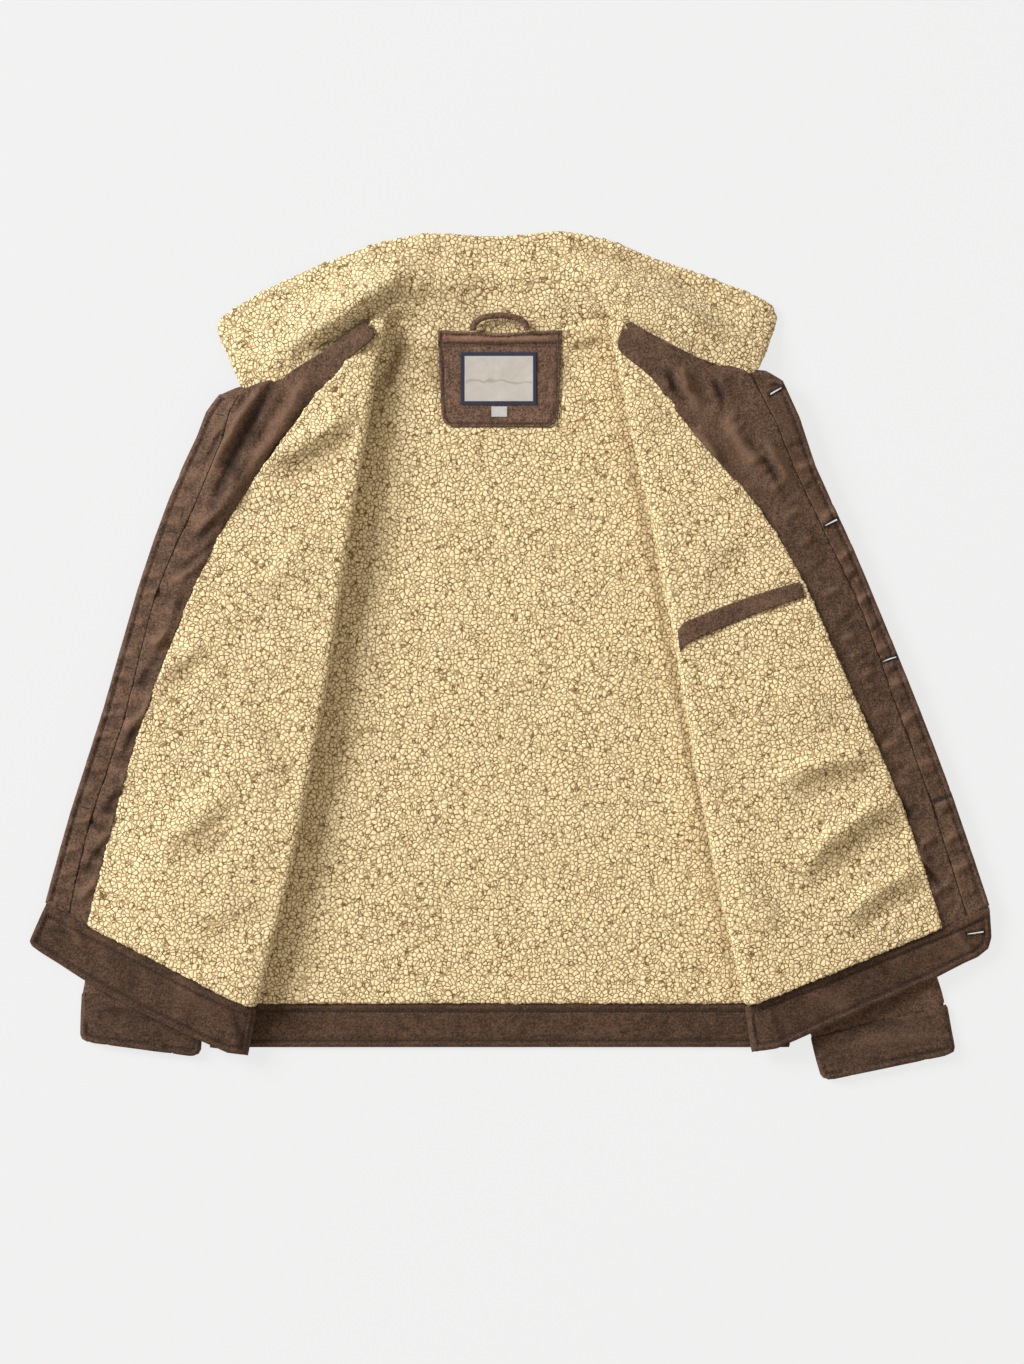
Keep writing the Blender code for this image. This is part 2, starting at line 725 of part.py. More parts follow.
def main():
    clear_scene()
    parts = bpy.data.collections.new("sherpa_lined_jacket")
    cutters = bpy.data.collections.new("cutters")
    bpy.context.scene.collection.children.link(parts)
    bpy.context.scene.collection.children.link(cutters)
    cutters.hide_render = True
    make_back(parts)
    make_collar(parts)
    for name, side, table in (("left", -1, LEFT_FRONT), ("right", 1, RIGHT_FRONT)):
        make_front(name, side, table, parts)
    make_band("left", -1, LEFT_BAND, parts)
    make_band("right", 1, RIGHT_BAND, parts)
    make_sleeve("left", -1, LEFT_SLEEVE, LEFT_CUFF, parts)
    make_sleeve("right", 1, RIGHT_SLEEVE, RIGHT_CUFF, parts)
    make_buttonholes(1, RIGHT_FRONT, RIGHT_BAND, cutters)
    make_buttons(-1, LEFT_FRONT, LEFT_BAND, parts)
    make_neck_pieces(parts)
    make_hang_loop(parts)
    make_pocket_welt(1, RIGHT_FRONT, parts)
    bpy.context.view_layer.update()
    centre_on_origin(parts)


main()
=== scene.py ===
import json
import math

import bmesh
import bpy
import numpy as np
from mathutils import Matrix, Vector
from mathutils.bvhtree import BVHTree
from mathutils.kdtree import KDTree

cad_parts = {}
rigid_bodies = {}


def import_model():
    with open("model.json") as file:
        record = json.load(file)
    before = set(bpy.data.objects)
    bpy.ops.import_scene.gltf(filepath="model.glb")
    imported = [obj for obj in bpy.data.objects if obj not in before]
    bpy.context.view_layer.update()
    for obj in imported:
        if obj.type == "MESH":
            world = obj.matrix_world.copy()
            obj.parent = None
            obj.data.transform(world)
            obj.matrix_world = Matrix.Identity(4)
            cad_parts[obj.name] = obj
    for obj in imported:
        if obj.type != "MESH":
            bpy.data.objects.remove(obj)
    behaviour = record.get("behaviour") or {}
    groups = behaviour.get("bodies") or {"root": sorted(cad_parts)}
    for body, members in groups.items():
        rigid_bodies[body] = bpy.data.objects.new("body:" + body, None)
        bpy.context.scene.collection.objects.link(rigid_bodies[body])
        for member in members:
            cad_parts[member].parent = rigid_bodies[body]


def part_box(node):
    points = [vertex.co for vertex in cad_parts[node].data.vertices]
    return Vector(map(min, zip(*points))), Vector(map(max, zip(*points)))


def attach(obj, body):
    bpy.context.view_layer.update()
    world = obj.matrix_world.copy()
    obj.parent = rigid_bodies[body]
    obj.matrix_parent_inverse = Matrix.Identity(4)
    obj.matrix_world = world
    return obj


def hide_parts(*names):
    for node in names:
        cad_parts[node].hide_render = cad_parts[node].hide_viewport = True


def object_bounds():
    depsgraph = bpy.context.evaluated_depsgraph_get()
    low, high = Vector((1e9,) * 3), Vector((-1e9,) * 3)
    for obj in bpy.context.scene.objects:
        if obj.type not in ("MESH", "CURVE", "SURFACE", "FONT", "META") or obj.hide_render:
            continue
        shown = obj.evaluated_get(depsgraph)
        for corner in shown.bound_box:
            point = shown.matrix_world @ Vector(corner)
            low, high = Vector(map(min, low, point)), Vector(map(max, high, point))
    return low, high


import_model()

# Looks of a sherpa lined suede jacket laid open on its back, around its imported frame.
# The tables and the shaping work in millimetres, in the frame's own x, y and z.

cad_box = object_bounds()
MM = 0.001
TAU = 2 * math.pi

# Cutting: squares of the fleece's skins, then the grids that flat pieces are cut on
PILE_VOXEL = 2.05
COLLAR_VOXEL = 1.6
FINE_STEP = 2.0
PANEL_STEP = 2.6
SHELL_STEP = 8.0
BACK_SHELL_STEP = 12.0
COLLAR_SHELL_STEP = 5.0
WELDED = 0.002
GRID_WELDED = 0.02
ADDED_CORNERS = 7  # room in a face for those that cutting it on three axes may add
SHARP = 0.6  # two faces whose normals agree less than this meet at a rim

# The fleece
CURL = 4.0
CURL_LIFT = 1.1
FOLD_DEPTH = 1.9
DEEPEST_FOLD = -3.0
FOLD_SHADE = 0.095
ROLL_SQUARED = 3.0
BACKING_REACH = 2.6
UNDER_TOP = (13.0, 17.0)  # between these heights the under part of a front ends
BACK_WAVES = ((90.0, 0.5), (30.0, 0.25))
FRONT_WAVES = ((80.0, 0.9), (34.0, 0.4))
COLLAR_WAVES = ((60.0, 0.8), (24.0, 0.4))
PATCH_PRESS = 0.9
COLLAR_REACH = 13.0
COLLAR_OVERLAP = 3.5
TUCK_WIDTH = 15.0

# The suede
CREASE_DEPTH = 2.7
CREASE_SHADE = 0.32
LIPS = 0.85
WAVES = 8
JOIN_REACH = 6.0
JOIN_OVERLAP = 1.2
END_RISE = 9.5
WELT_WIDENED = 0.45

# Seams; a thread is its radius, its pitch and the length of a stitch
SEAM_WIDTH = 1.5
SEAM_DEPTH = 1.3
STITCH_SHADOW_WIDTH = 1.1
TURNED_EDGE = 1.1
OFF_MIDDLE = 1.0
PLACKET_INSET = 5.5
CUFF_INSET = 6.0
BAND_INSET = 6.5
PATCH_INSET = 3.0
LINE_INSET = 0.1
PATCH_LINES = (13.0, 15.0)
HOLE_SIZES = (10.0, 30.0)
HOLE_EDGE = 0.6
HOLE_SPACING = 0.8
HOLE_SHADE_REACH = (-2.6, -1.2)
PINCH_REACH = 6.0
SEAM_THREAD = (0.42, 3.1, 2.3)
TACK_THREAD = (0.55, 1.0, 1.8)
HOLE_THREAD = (0.6, 1.2, 1.7)
THREAD_SIDES = 5
SHORTEST_RUN = 6
ABOVE_ALL = 200.0
BUTTONS = 5

# Where the view is centred and how tall it is
VIEW_CENTRE = (1.4, -25.4)
VIEW_HEIGHT = 1295.8
CAMERA_HEIGHT = 5000.0


# ------------------------------------------------------------------ shader maths


class Value:
    """What one socket gives; a sum with it adds a Math node."""

    def __init__(self, net, socket):
        self.net = net
        self.socket = socket

    def __add__(self, other):
        return self.net.maths("ADD", self, other)

    def __sub__(self, other):
        return self.net.maths("SUBTRACT", self, other)

    def __rsub__(self, other):
        return self.net.maths("SUBTRACT", other, self)

    def __mul__(self, other):
        return self.net.maths("MULTIPLY", self, other)

    def __truediv__(self, other):
        return self.net.maths("DIVIDE", self, other)

    __radd__ = __add__
    __rmul__ = __mul__

    def rise(self, low, high):
        """0 below low, 1 above high and a smooth step in between."""
        sockets = {"Value": self, "From Min": low, "From Max": high}
        return self.net.node("ShaderNodeMapRange", {"interpolation_type": "SMOOTHSTEP"}, sockets)


class Net:
    """Adds nodes to one tree, of a material or of a geometry modifier."""

    def __init__(self, tree):
        self.tree = tree

    def node(self, kind, settings=None, sockets=None, out=0):
        """A node with its settings, then the values or links of its sockets."""
        made = self.tree.nodes.new(kind)
        for name, setting in (settings or {}).items():
            if name == "stops":
                self.set_stops(made.color_ramp, setting)
            else:
                setattr(made, name, setting)
        for name, value in (sockets or {}).items():
            if isinstance(value, Value):
                self.tree.links.new(value.socket, made.inputs[name])
            else:
                made.inputs[name].default_value = value
        return Value(self, made.outputs[out]) if made.outputs else made

    def set_stops(self, ramp, stops):
        while len(ramp.elements) < len(stops):
            ramp.elements.new(1.0)
        for element, (place, colour) in zip(ramp.elements, stops):
            element.position = place
            element.color = colour

    def maths(self, operation, *values):
        return self.node("ShaderNodeMath", {"operation": operation}, dict(enumerate(values)))

    def vector(self, operation, first, second):
        slot = "Scale" if operation == "SCALE" else 1
        return self.node("ShaderNodeVectorMath", {"operation": operation}, {0: first, slot: second})

    def blend(self, share, first, second, kind="MIX"):
        settings = {"data_type": "RGBA", "blend_type": kind, "clamp_factor": True}
        return self.node("ShaderNodeMix", settings, {0: share, 6: first, 7: second}, 2)

    def noise(self, place, size, detail=2.0, out=0):
        """Clouds of about this size in millimetres."""
        sockets = {"Vector": place, "Scale": 1 / (size * MM), "Detail": detail}
        return self.node("ShaderNodeTexNoise", {}, sockets, out)

    def cells(self, place, size):
        """Distance from the borders between cells of about this size in millimetres."""
        sockets = {"Vector": place, "Scale": 1 / (size * MM)}
        return self.node("ShaderNodeTexVoronoi", {"feature": "DISTANCE_TO_EDGE"}, sockets)

    def drift(self, place, size, reach):
        """The place moved about by clouds of this size, by up to this reach."""
        cloud = self.vector("SUBTRACT", self.noise(place, size, 2.0, 1), (0.5, 0.5, 0.5))
        return self.vector("ADD", place, self.vector("SCALE", cloud, reach * MM))


class Finish(Net):
    """A material whose shader is closed by done()."""

    def __init__(self, name):
        self.material = bpy.data.materials.new(name)
        self.material.use_nodes = True
        super().__init__(self.material.node_tree)
        self.tree.nodes.clear()
        self.place = self.node("ShaderNodeTexCoord", out="Object")

    def shade(self):
        """Painted shade that the shaping stored on the cloth, or painted highlight where it is negative.
        """
        return self.node("ShaderNodeAttribute", {"attribute_name": "shade"}, out=2)

    def done(self, colour, roughness, height, depth, fixed):
        """Fixed holds the sockets of the shader that are the same all over."""
        bump = self.node(
            "ShaderNodeBump", {}, {"Height": height, "Strength": 1.0, "Distance": depth * MM}
        )
        sockets = {"Base Color": colour, "Roughness": roughness, "Normal": bump, **fixed}
        shader = self.node("ShaderNodeBsdfPrincipled", {}, sockets)
        self.node("ShaderNodeOutputMaterial", {}, {"Surface": shader})
        return self.material


def rgb(red, green, blue):
    return (red, green, blue, 1.0)


def toned(colour, red, green=None, blue=None):
    """A colour made lighter or darker, channel by channel where three shares are given."""
    shares = (red, red if green is None else green, red if blue is None else blue)
    return rgb(*(channel * share for channel, share in zip(colour, shares)))


def curl_parts(net, place, size):
    """Distance from the clefts between curls, and from those between tufts of curls."""
    moved = net.drift(net.drift(place, size * 5.0, size * 1.6), size * 1.1, size * 0.55)
    curls = net.cells(moved, size)
    tufts = net.cells(net.drift(place, size * 2.2, size * 1.2), size * 2.6)
    return curls, tufts


def pile_finish(name, tone=1.0):
    """Curly fleece: pale tops, thin clefts painted brown as shade, and fibres that catch the light."""
    net = Finish(name)
    curls, tufts = curl_parts(net, net.place, CURL)
    patch = net.noise(net.place, 60.0, 2.0)
    strand = net.noise(net.drift(net.place, 1.6, 1.2), 0.8, 3.0)
    deep = net.noise(net.place, 6.0, 1.0).rise(0.34, 0.6)
    # Painted shade: the clefts between curls and the cracks between tufts are darkened towards brown,
    # more in some clouds than in others.
    painted_cleft_shade = (1 - curls.rise(0.02, 0.13)) * (0.58 + 0.42 * deep)
    painted_crack_shade = (1 - tufts.rise(0.0, 0.04)) * net.noise(net.place, 13.0).rise(0.45, 0.7) * 0.8
    dark = net.maths("MAXIMUM", painted_cleft_shade, painted_crack_shade)
    painted_hollow_shade = net.shade()
    top = toned((0.87, 0.72, 0.44), tone)
    middle = toned((0.76, 0.585, 0.315), tone)
    painted_shade_brown = toned((0.135, 0.07, 0.021), tone)
    colour = net.blend(curls.rise(0.04, 0.3) * 0.8 + (patch - 0.5) * 0.3, middle, top)
    colour = net.blend((strand - 0.5) * 0.7, colour, rgb(0.96, 0.86, 0.64))
    colour = net.blend((0.5 - strand) * 0.6, colour, toned((0.5, 0.34, 0.15), tone))
    # The clefts, the cracks and the hollows stored by the shaping all take the painted shade colour.
    colour = net.blend(dark * 0.97, colour, painted_shade_brown)
    colour = net.blend(painted_hollow_shade * 0.8, colour, painted_shade_brown)
    height = 0.6 * curls.rise(0.0, 0.15) + 0.25 * curls.rise(0.1, 0.5)
    height = height + 0.18 * strand + 0.35 * tufts.rise(0.0, 0.2)
    fixed = {
        "Sheen Weight": 0.3,
        "Sheen Roughness": 0.45,
        "Sheen Tint": rgb(1.0, 0.92, 0.74),
        "Specular IOR Level": 0.15,
    }
    return net.done(colour, 0.92 - 0.1 * strand, height, 0.7, fixed)


def suede_finish(name, colour, brushed=(1.0, 0.35, 1.0)):
    """Brushed microsuede: cloudy nap with paler strokes and a fine tight grain."""
    net = Finish(name)
    stroked = net.node("ShaderNodeMapping", {}, {"Vector": net.place, "Scale": brushed})
    blotch = net.noise(net.place, 75.0, 2.0)
    cloud = net.noise(net.drift(net.place, 14.0, 9.0), 11.0, 5.0)
    stroke = net.noise(net.drift(stroked, 6.0, 3.0), 3.6, 5.0)
    nap = net.noise(net.place, 1.9, 3.0)
    fibre = net.noise(net.place, 0.8, 2.0)
    shade = net.shade()
    level = 0.5 + 0.5 * (blotch - 0.5) + 0.7 * (cloud - 0.5) + 0.7 * (stroke - 0.5)
    level = level + 2.0 * (nap - 0.5) + 1.6 * (fibre - 0.5)
    dark = toned(colour, 0.42, 0.4, 0.38)
    pale = toned(colour, 1.75, 1.7, 1.65)
    ramp = {"stops": ((0.1, dark), (0.5, rgb(*colour)), (0.9, pale))}
    tint = net.node("ShaderNodeValToRGB", ramp, {"Fac": level})
    # Painted shade from the shaping darkens the suede in its troughs, seams and hollows, and where the
    # stored value is negative a painted highlight makes it paler.
    tint = net.blend(shade * 0.85, tint, toned(colour, 0.16, 0.15, 0.14))
    tint = net.blend((0 - shade) * 0.9, tint, toned(colour, 2.3, 2.25, 2.2))
    height = 0.8 * nap + 0.4 * fibre + 0.45 * stroke + 0.5 * cloud
    fixed = {
        "Sheen Weight": 0.16,
        "Sheen Roughness": 0.4,
        "Sheen Tint": rgb(0.95, 0.74, 0.58),
        "Specular IOR Level": 0.25,
    }
    return net.done(tint, 0.86 + 0.1 * nap, height, 0.75, fixed)


def thread_finish(name, colour):
    """Twisted thread, its plies a little lighter and darker."""
    net = Finish(name)
    ply = net.noise(net.place, 0.5, 2.0)
    tint = net.blend(ply, toned(colour, 0.7), toned(colour, 1.3))
    return net.done(tint, 0.55 + 0.2 * ply, ply, 0.15, {"Specular IOR Level": 0.4})


def label_finish(name, node, border, field, edge, stripe):
    """Woven label: a field inside a border, with one plain woven stripe across it."""
    net = Finish(name)
    low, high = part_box(node)
    centre = [(a + b) / 2 for a, b in zip(low, high)]
    half = [(b - a) / 2 for a, b in zip(low, high)]
    x = net.node("ShaderNodeSeparateXYZ", {}, {0: net.place})
    y = Value(net, x.socket.node.outputs[1])
    from_side = half[0] - net.maths("ABSOLUTE", x - centre[0])
    from_end = half[1] - net.maths("ABSOLUTE", y - centre[1])
    rim = net.maths("MINIMUM", from_side, from_end) / MM
    inside = rim.rise(edge - 0.25, edge + 0.25)
    warp = net.node("ShaderNodeTexWave", {"bands_direction": "X"}, {"Vector": net.place, "Scale": 560.0})
    weft = net.node("ShaderNodeTexWave", {"bands_direction": "Y"}, {"Vector": net.place, "Scale": 480.0})
    weave = 0.5 * warp + 0.5 * weft
    wear = net.noise(net.place, 6.0, 3.0)
    sway = (net.noise(net.place, 16.0, 1.0) - 0.5) * (half[1] * 0.5)
    off_stripe = net.maths("ABSOLUTE", y - centre[1] + sway + half[1] * 0.12) / MM
    band = (1 - off_stripe.rise(stripe * 0.4, stripe)) * 0.55 * rim.rise(edge + 0.6, edge + 1.2)
    colour = net.blend(band, rgb(*field), rgb(0.42, 0.36, 0.26))
    colour = net.blend(inside, rgb(*border), colour)
    colour = net.blend(0.28 * weave + 0.22 * wear, colour, rgb(0.05, 0.05, 0.06), "MULTIPLY")
    return net.done(colour, 0.7 + 0.2 * weave, weave, 0.2, {"Specular IOR Level": 0.3})


def metal_finish(name):
    """Burnished metal, paler where it is rubbed."""
    net = Finish(name)
    rub = net.noise(net.place, 2.0, 4.0)
    tint = net.blend(rub.rise(0.4, 0.7), rgb(0.16, 0.10, 0.06), rgb(0.42, 0.30, 0.19))
    return net.done(tint, 0.3 + 0.3 * rub, rub, 0.05, {"Metallic": 1.0})


# ------------------------------------------------------------------ shaping


def smooth(values, low, high):
    """0 below low, 1 above high and a smooth step in between."""
    share = np.clip((values - low) / (high - low), 0.0, 1.0)
    return share * share * (3.0 - 2.0 * share)


def bell(values, width):
    """1 where the values are 0, falling smoothly to nothing within about twice the width."""
    return np.exp(-((values / width) ** 2))


def ripple(points, length, seed):
    """A gentle unevenness, about -1 to 1, with waves of about this length."""
    draw = np.random.default_rng(seed)
    total = np.zeros(len(points))
    for _ in range(WAVES):
        heading = draw.normal(size=3)
        heading /= np.linalg.norm(heading)
        wave = length * draw.uniform(0.7, 1.5)
        total += np.sin(points @ heading * (TAU / wave) + draw.uniform(0, TAU))
    return total / math.sqrt(WAVES / 2) / 1.6


def unevenness(points, waves, seed):
    """Height of several ripples together; waves hold a length and a height each."""
    ripples = [ripple(points, length, seed + index) for index, (length, _) in enumerate(waves)]
    return sum(height * heights for (_, height), heights in zip(waves, ripples))


def crease(points, row, lips):
    """Height that one ridge, or a trough if negative, adds; lips rise beside a trough."""
    start_x, start_y, end_x, end_y, bow, width, height = row
    along = np.array((end_x - start_x, end_y - start_y), float)
    length = np.linalg.norm(along)
    along /= length
    away = points[:, :2] - (start_x, start_y)
    place = away @ along / length
    across = away @ np.array((-along[1], along[0])) - 4 * bow * place * (1 - place)
    fade = smooth(place, -0.15, 0.3) * smooth(1 - place, -0.15, 0.3)
    profile = bell(across, width)
    if height < 0:
        profile -= lips * bell(across, 2 * width)
    return height * fade * profile


def creases(points, rows, lips=0.0):
    """Height that all these rows add together."""
    total = np.zeros(len(points))
    for row in rows:
        total += crease(points, row, lips)
    return total


def cross_planes(points, faces, axis, step):
    """Cuts convex faces wherever they cross planes this far apart on the axis.

    A row of faces ends in -1 where the face has fewer corners than the row has places.
    """
    tiny = 1e-4
    width = faces.shape[1]
    while True:
        held = faces >= 0
        places = points[faces, axis] / step
        low = np.where(held, places, np.inf).min(axis=1)
        high = np.where(held, places, -np.inf).max(axis=1)
        first = np.floor(low + tiny) + 1
        last = np.ceil(high - tiny) - 1
        crossing = last >= first
        if not crossing.any():
            return points, faces
        plane = np.floor((first + last) / 2)[crossing]
        corners = faces[crossing]
        held = held[crossing]
        height = places[crossing] - plane[:, None]
        height[np.abs(height) < tiny] = 0.0
        following = (np.arange(width) + 1) % held.sum(axis=1)[:, None]
        next_corners = np.take_along_axis(corners, following, 1)
        next_height = np.take_along_axis(height, following, 1)
        cuts = held & (height * next_height < 0)
        share = (height[cuts] / (height[cuts] - next_height[cuts]))[:, None]
        start = points[corners[cuts]]
        added = np.full(corners.shape, -1)
        added[cuts] = len(points) + np.arange(cuts.sum())
        points = np.vstack((points, start + (points[next_corners[cuts]] - start) * share))
        halves = []
        for sign in (1, -1):
            kept = np.where(held & (height * sign >= 0), corners, -1)
            woven = np.stack((kept, added), 2).reshape(len(corners), -1)
            order = np.argsort(woven < 0, axis=1, kind="stable")
            halves.append(np.take_along_axis(woven, order, 1)[:, :width])
        faces = np.vstack((faces[~crossing], *halves))


def box_mm(node):
    """Lowest and highest corner of a node."""
    return (np.array(corner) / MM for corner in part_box(node))


def spots_of(node):
    """Points of a node's own mesh."""
    return np.array([vertex.co for vertex in bpy.data.objects[node].data.vertices]) / MM


def placed(name, data):
    """A new object in the scene."""
    made = bpy.data.objects.new(name, data)
    bpy.context.scene.collection.objects.link(made)
    return made


def evaluated_mesh(made):
    """The mesh that an object's modifiers make, for good."""
    graph = bpy.context.evaluated_depsgraph_get()
    return bpy.data.meshes.new_from_object(made.evaluated_get(graph))


def mesh_arrays(mesh):
    """Points in millimetres and faces, which all have as many corners as the first."""
    points = np.empty(len(mesh.vertices) * 3)
    mesh.vertices.foreach_get("co", points)
    sides = len(mesh.polygons[0].vertices)
    faces = np.empty(len(mesh.polygons) * sides, np.int64)
    mesh.polygons.foreach_get("vertices", faces)
    return points.reshape(-1, 3) / MM, faces.reshape(-1, sides)


def welded(mesh, reach):
    """The same mesh without doubled points or slivers, all in faces of at most three corners."""
    sheet = bmesh.new()
    sheet.from_mesh(mesh)
    bmesh.ops.remove_doubles(sheet, verts=sheet.verts, dist=reach * MM)
    bmesh.ops.dissolve_degenerate(sheet, edges=sheet.edges, dist=reach * MM)
    bmesh.ops.triangulate(sheet, faces=[face for face in sheet.faces if len(face.verts) > 3])
    sheet.to_mesh(mesh)
    sheet.free()
    return mesh


def new_mesh(name, points, faces):
    """A mesh of these points, in millimetres, and faces."""
    mesh = bpy.data.meshes.new(name)
    rows = [[corner for corner in face if corner >= 0] for face in faces.tolist()]
    mesh.from_pydata((points * MM).tolist(), [], rows)
    mesh.validate()
    return mesh


class Panel:
    """One cut piece while it is shaped: points in millimetres, faces, and a shade in the end."""

    def __init__(self, points, faces):
        self.points = points
        self.faces = faces
        self.shade = None
        self.study()

    def study(self):
        """Finds edges, normals and the rims where the piece's two sides meet."""
        corners = self.points[self.faces]
        cross = np.cross(corners[:, 1] - corners[:, 0], corners[:, 2] - corners[:, 0])
        if self.faces.shape[1] == 4:
            cross += np.cross(corners[:, 2] - corners[:, 0], corners[:, 3] - corners[:, 0])
        self.face_normals = cross / np.maximum(np.linalg.norm(cross, axis=1), 1e-12)[:, None]
        self.centres = corners.mean(axis=1)
        self.normals = self.to_points(cross)
        self.normals /= np.maximum(np.linalg.norm(self.normals, axis=1), 1e-12)[:, None]
        width = self.faces.shape[1]
        ends = np.stack((self.faces, np.roll(self.faces, -1, axis=1)), 2).reshape(-1, 2)
        owner = np.repeat(np.arange(len(self.faces)), width)
        keys = ends.min(axis=1) * len(self.points) + ends.max(axis=1)
        order = np.argsort(keys, kind="stable")
        keys = keys[order]
        same = keys[1:] == keys[:-1]
        first = order[:-1][same]
        second = order[1:][same]
        flat = (self.face_normals[owner[first]] * self.face_normals[owner[second]]).sum(axis=1)
        self.rim = np.zeros(len(self.points), bool)
        self.rim[ends[first[flat < SHARP]].ravel()] = True
        lead = np.concatenate(([True], ~same))
        self.edges = ends[order[lead]]

    def to_points(self, values):
        """Sum at each point of what its faces hold."""
        total = np.empty((len(self.points), values.shape[1]))
        where = self.faces.ravel()
        for axis in range(values.shape[1]):
            spread = np.repeat(values[:, axis], self.faces.shape[1])
            total[:, axis] = np.bincount(where, spread, len(self.points))
        return total

    def relax(self, passes, along_normal=True, keep_rims=True):
        """Evens out facets; a rim is only evened along its own line."""
        start, end = self.edges.T
        weight = np.ones(len(self.edges))
        weight[(self.normals[start] * self.normals[end]).sum(axis=1) < 0.3] = 0.0
        into_start = weight.copy()
        into_end = weight.copy()
        if keep_rims:
            into_start[self.rim[start] & ~self.rim[end]] = 0.0
            into_end[self.rim[end] & ~self.rim[start]] = 0.0
        count = len(self.points)
        total = np.bincount(start, into_start, count) + np.bincount(end, into_end, count)
        total = np.maximum(total, 1e-9)
        for _ in range(passes):
            mean = np.empty_like(self.points)
            for axis in range(3):
                line = self.points[:, axis]
                mean[:, axis] = np.bincount(start, into_start * line[end], count)
                mean[:, axis] += np.bincount(end, into_end * line[start], count)
            step = np.where(total[:, None] > 1e-6, mean / total[:, None] - self.points, 0.0)
            if along_normal:
                step = self.normals * (step * self.normals).sum(axis=1)[:, None]
            self.points = self.points + 0.5 * step

    def lift(self, heights):
        self.points[:, 2] += heights

    def keep(self, wanted):
        """Keeps only these faces and the points that they use."""
        used, faces = np.unique(self.faces[wanted], return_inverse=True)
        self.faces = faces.reshape(-1, self.faces.shape[1])
        self.points = self.points[used]
        self.study()


def sliced(node, step):
    """A closed copy of a node, cut on a fine even grid so that it can be shaped."""
    mesh = welded(bpy.data.objects[node].data.copy(), WELDED)
    points, faces = mesh_arrays(mesh)
    faces = np.hstack((faces, np.full((len(faces), ADDED_CORNERS), -1)))
    for axis, spacing in enumerate((step, step, 2 * step)):
        points, faces = cross_planes(points, faces, axis, spacing)
    mesh = welded(new_mesh(node + "_grid", points, faces), GRID_WELDED)
    points, faces = mesh_arrays(mesh)
    return Panel(points, faces)


def remeshed(node, voxel):
    """A thick node as an even closed skin of small squares."""
    mesh = welded(bpy.data.objects[node].data.copy(), WELDED)
    holder = placed(node + "_skin", mesh)
    skin = holder.modifiers.new("Skin", "REMESH")
    skin.mode = "VOXEL"
    skin.voxel_size = voxel * MM
    points, faces = mesh_arrays(evaluated_mesh(holder))
    bpy.data.objects.remove(holder)
    return Panel(points, faces)


def tree_of(node):
    """A node's faces, for finding the nearest of them."""
    mesh = bpy.data.objects[node].data
    corners = [vertex.co / MM for vertex in mesh.vertices]
    return BVHTree.FromPolygons(corners, [face.vertices[:] for face in mesh.polygons])


def reach_to(panel, nodes, near, over):
    """Moves a rim out to the neighbours that it is sewn to, and a little over them."""
    trees = [tree_of(node) for node in nodes]
    for index, (point, normal) in enumerate(zip(panel.points, panel.normals)):
        best = None
        for tree in trees:
            found, _, _, distance = tree.find_nearest(Vector(point), near)
            if found is not None and (best is None or distance < best[0]):
                best = (distance, np.array(found) - point)
        if best is None or best[0] < 1e-6:
            continue
        distance, toward = best
        toward = toward / distance
        if toward @ normal > 0.3 and abs(toward[2]) < 0.9:
            fade = smooth(np.array(near - distance), 0.0, near * 0.35)
            panel.points[index] = point + toward * (distance + over) * fade


def square_roll(panel, amount):
    """Gives a rolled edge a flatter top and a tighter turn."""
    slope = panel.normals[:, 2:3] ** 2
    turn = np.where(panel.normals[:, 2:3] > 0, 4 * slope * (1 - slope), 0.0)
    panel.points += panel.normals * turn * amount


def add_piece(name, mesh, finish, slot, *stands_for):
    """A finished piece that rides on the only body."""
    mesh.shade_smooth()
    mesh.materials.append(finish)
    made = placed(name, mesh)
    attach(made, "root")
    if stands_for:
        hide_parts(*stands_for)
    return made


def panel_piece(name, panel, finish, slot, stands_for):
    """A shaped panel as a finished piece, with its shade stored on its points."""
    mesh = new_mesh(name, panel.points, panel.faces)
    shade = mesh.attributes.new("shade", "FLOAT", "POINT")
    shade.data.foreach_set("value", np.clip(panel.shade, -1.0, 1.0).astype(np.float32))
    return add_piece(name, mesh, finish, slot, stands_for)


# ------------------------------------------------------------------ the fleece


def curl_group():
    """Raises every curl of the pile along its normal by the lift stored on the mesh."""
    tree = bpy.data.node_groups.new("Curls", "GeometryNodeTree")
    tree.interface.new_socket("Geometry", in_out="INPUT", socket_type="NodeSocketGeometry")
    tree.interface.new_socket("Geometry", in_out="OUTPUT", socket_type="NodeSocketGeometry")
    net = Net(tree)
    cloth = net.node("NodeGroupInput")
    place = net.node("GeometryNodeInputPosition")
    normal = net.node("GeometryNodeInputNormal")
    lift = net.node("GeometryNodeInputNamedAttribute", {"data_type": "FLOAT"}, {"Name": "lift"})
    curls, tufts = curl_parts(net, place, CURL)
    height = 0.3 * curls.rise(0.0, 0.4) + 0.5 * tufts.rise(0.0, 0.35)
    offset = net.vector("SCALE", normal, height * lift)
    moved = net.node("GeometryNodeSetPosition", {}, {"Geometry": cloth, "Offset": offset})
    net.node("NodeGroupOutput", {}, {0: moved})
    return tree


def raise_curls(made, lift):
    """Stores the lift, in millimetres, and shapes the curls for good."""
    # They stand highest where the cloth turns down, so that its outline is curly too.
    upright = np.array([abs(vertex.normal.z) for vertex in made.data.vertices])
    lift = lift * (0.7 + 1.2 * (1 - upright))
    stored = made.data.attributes.new("lift", "FLOAT", "POINT")
    stored.data.foreach_set("value", np.asarray(lift, np.float32) * MM)
    modifier = made.modifiers.new("Curls", "NODES")
    modifier.node_group = bpy.data.node_groups.get("Curls") or curl_group()
    curled = evaluated_mesh(made)
    made.modifiers.clear()
    made.data = curled
    if "lift" in curled.attributes:
        curled.attributes.remove(curled.attributes["lift"])
    curled.shade_smooth()


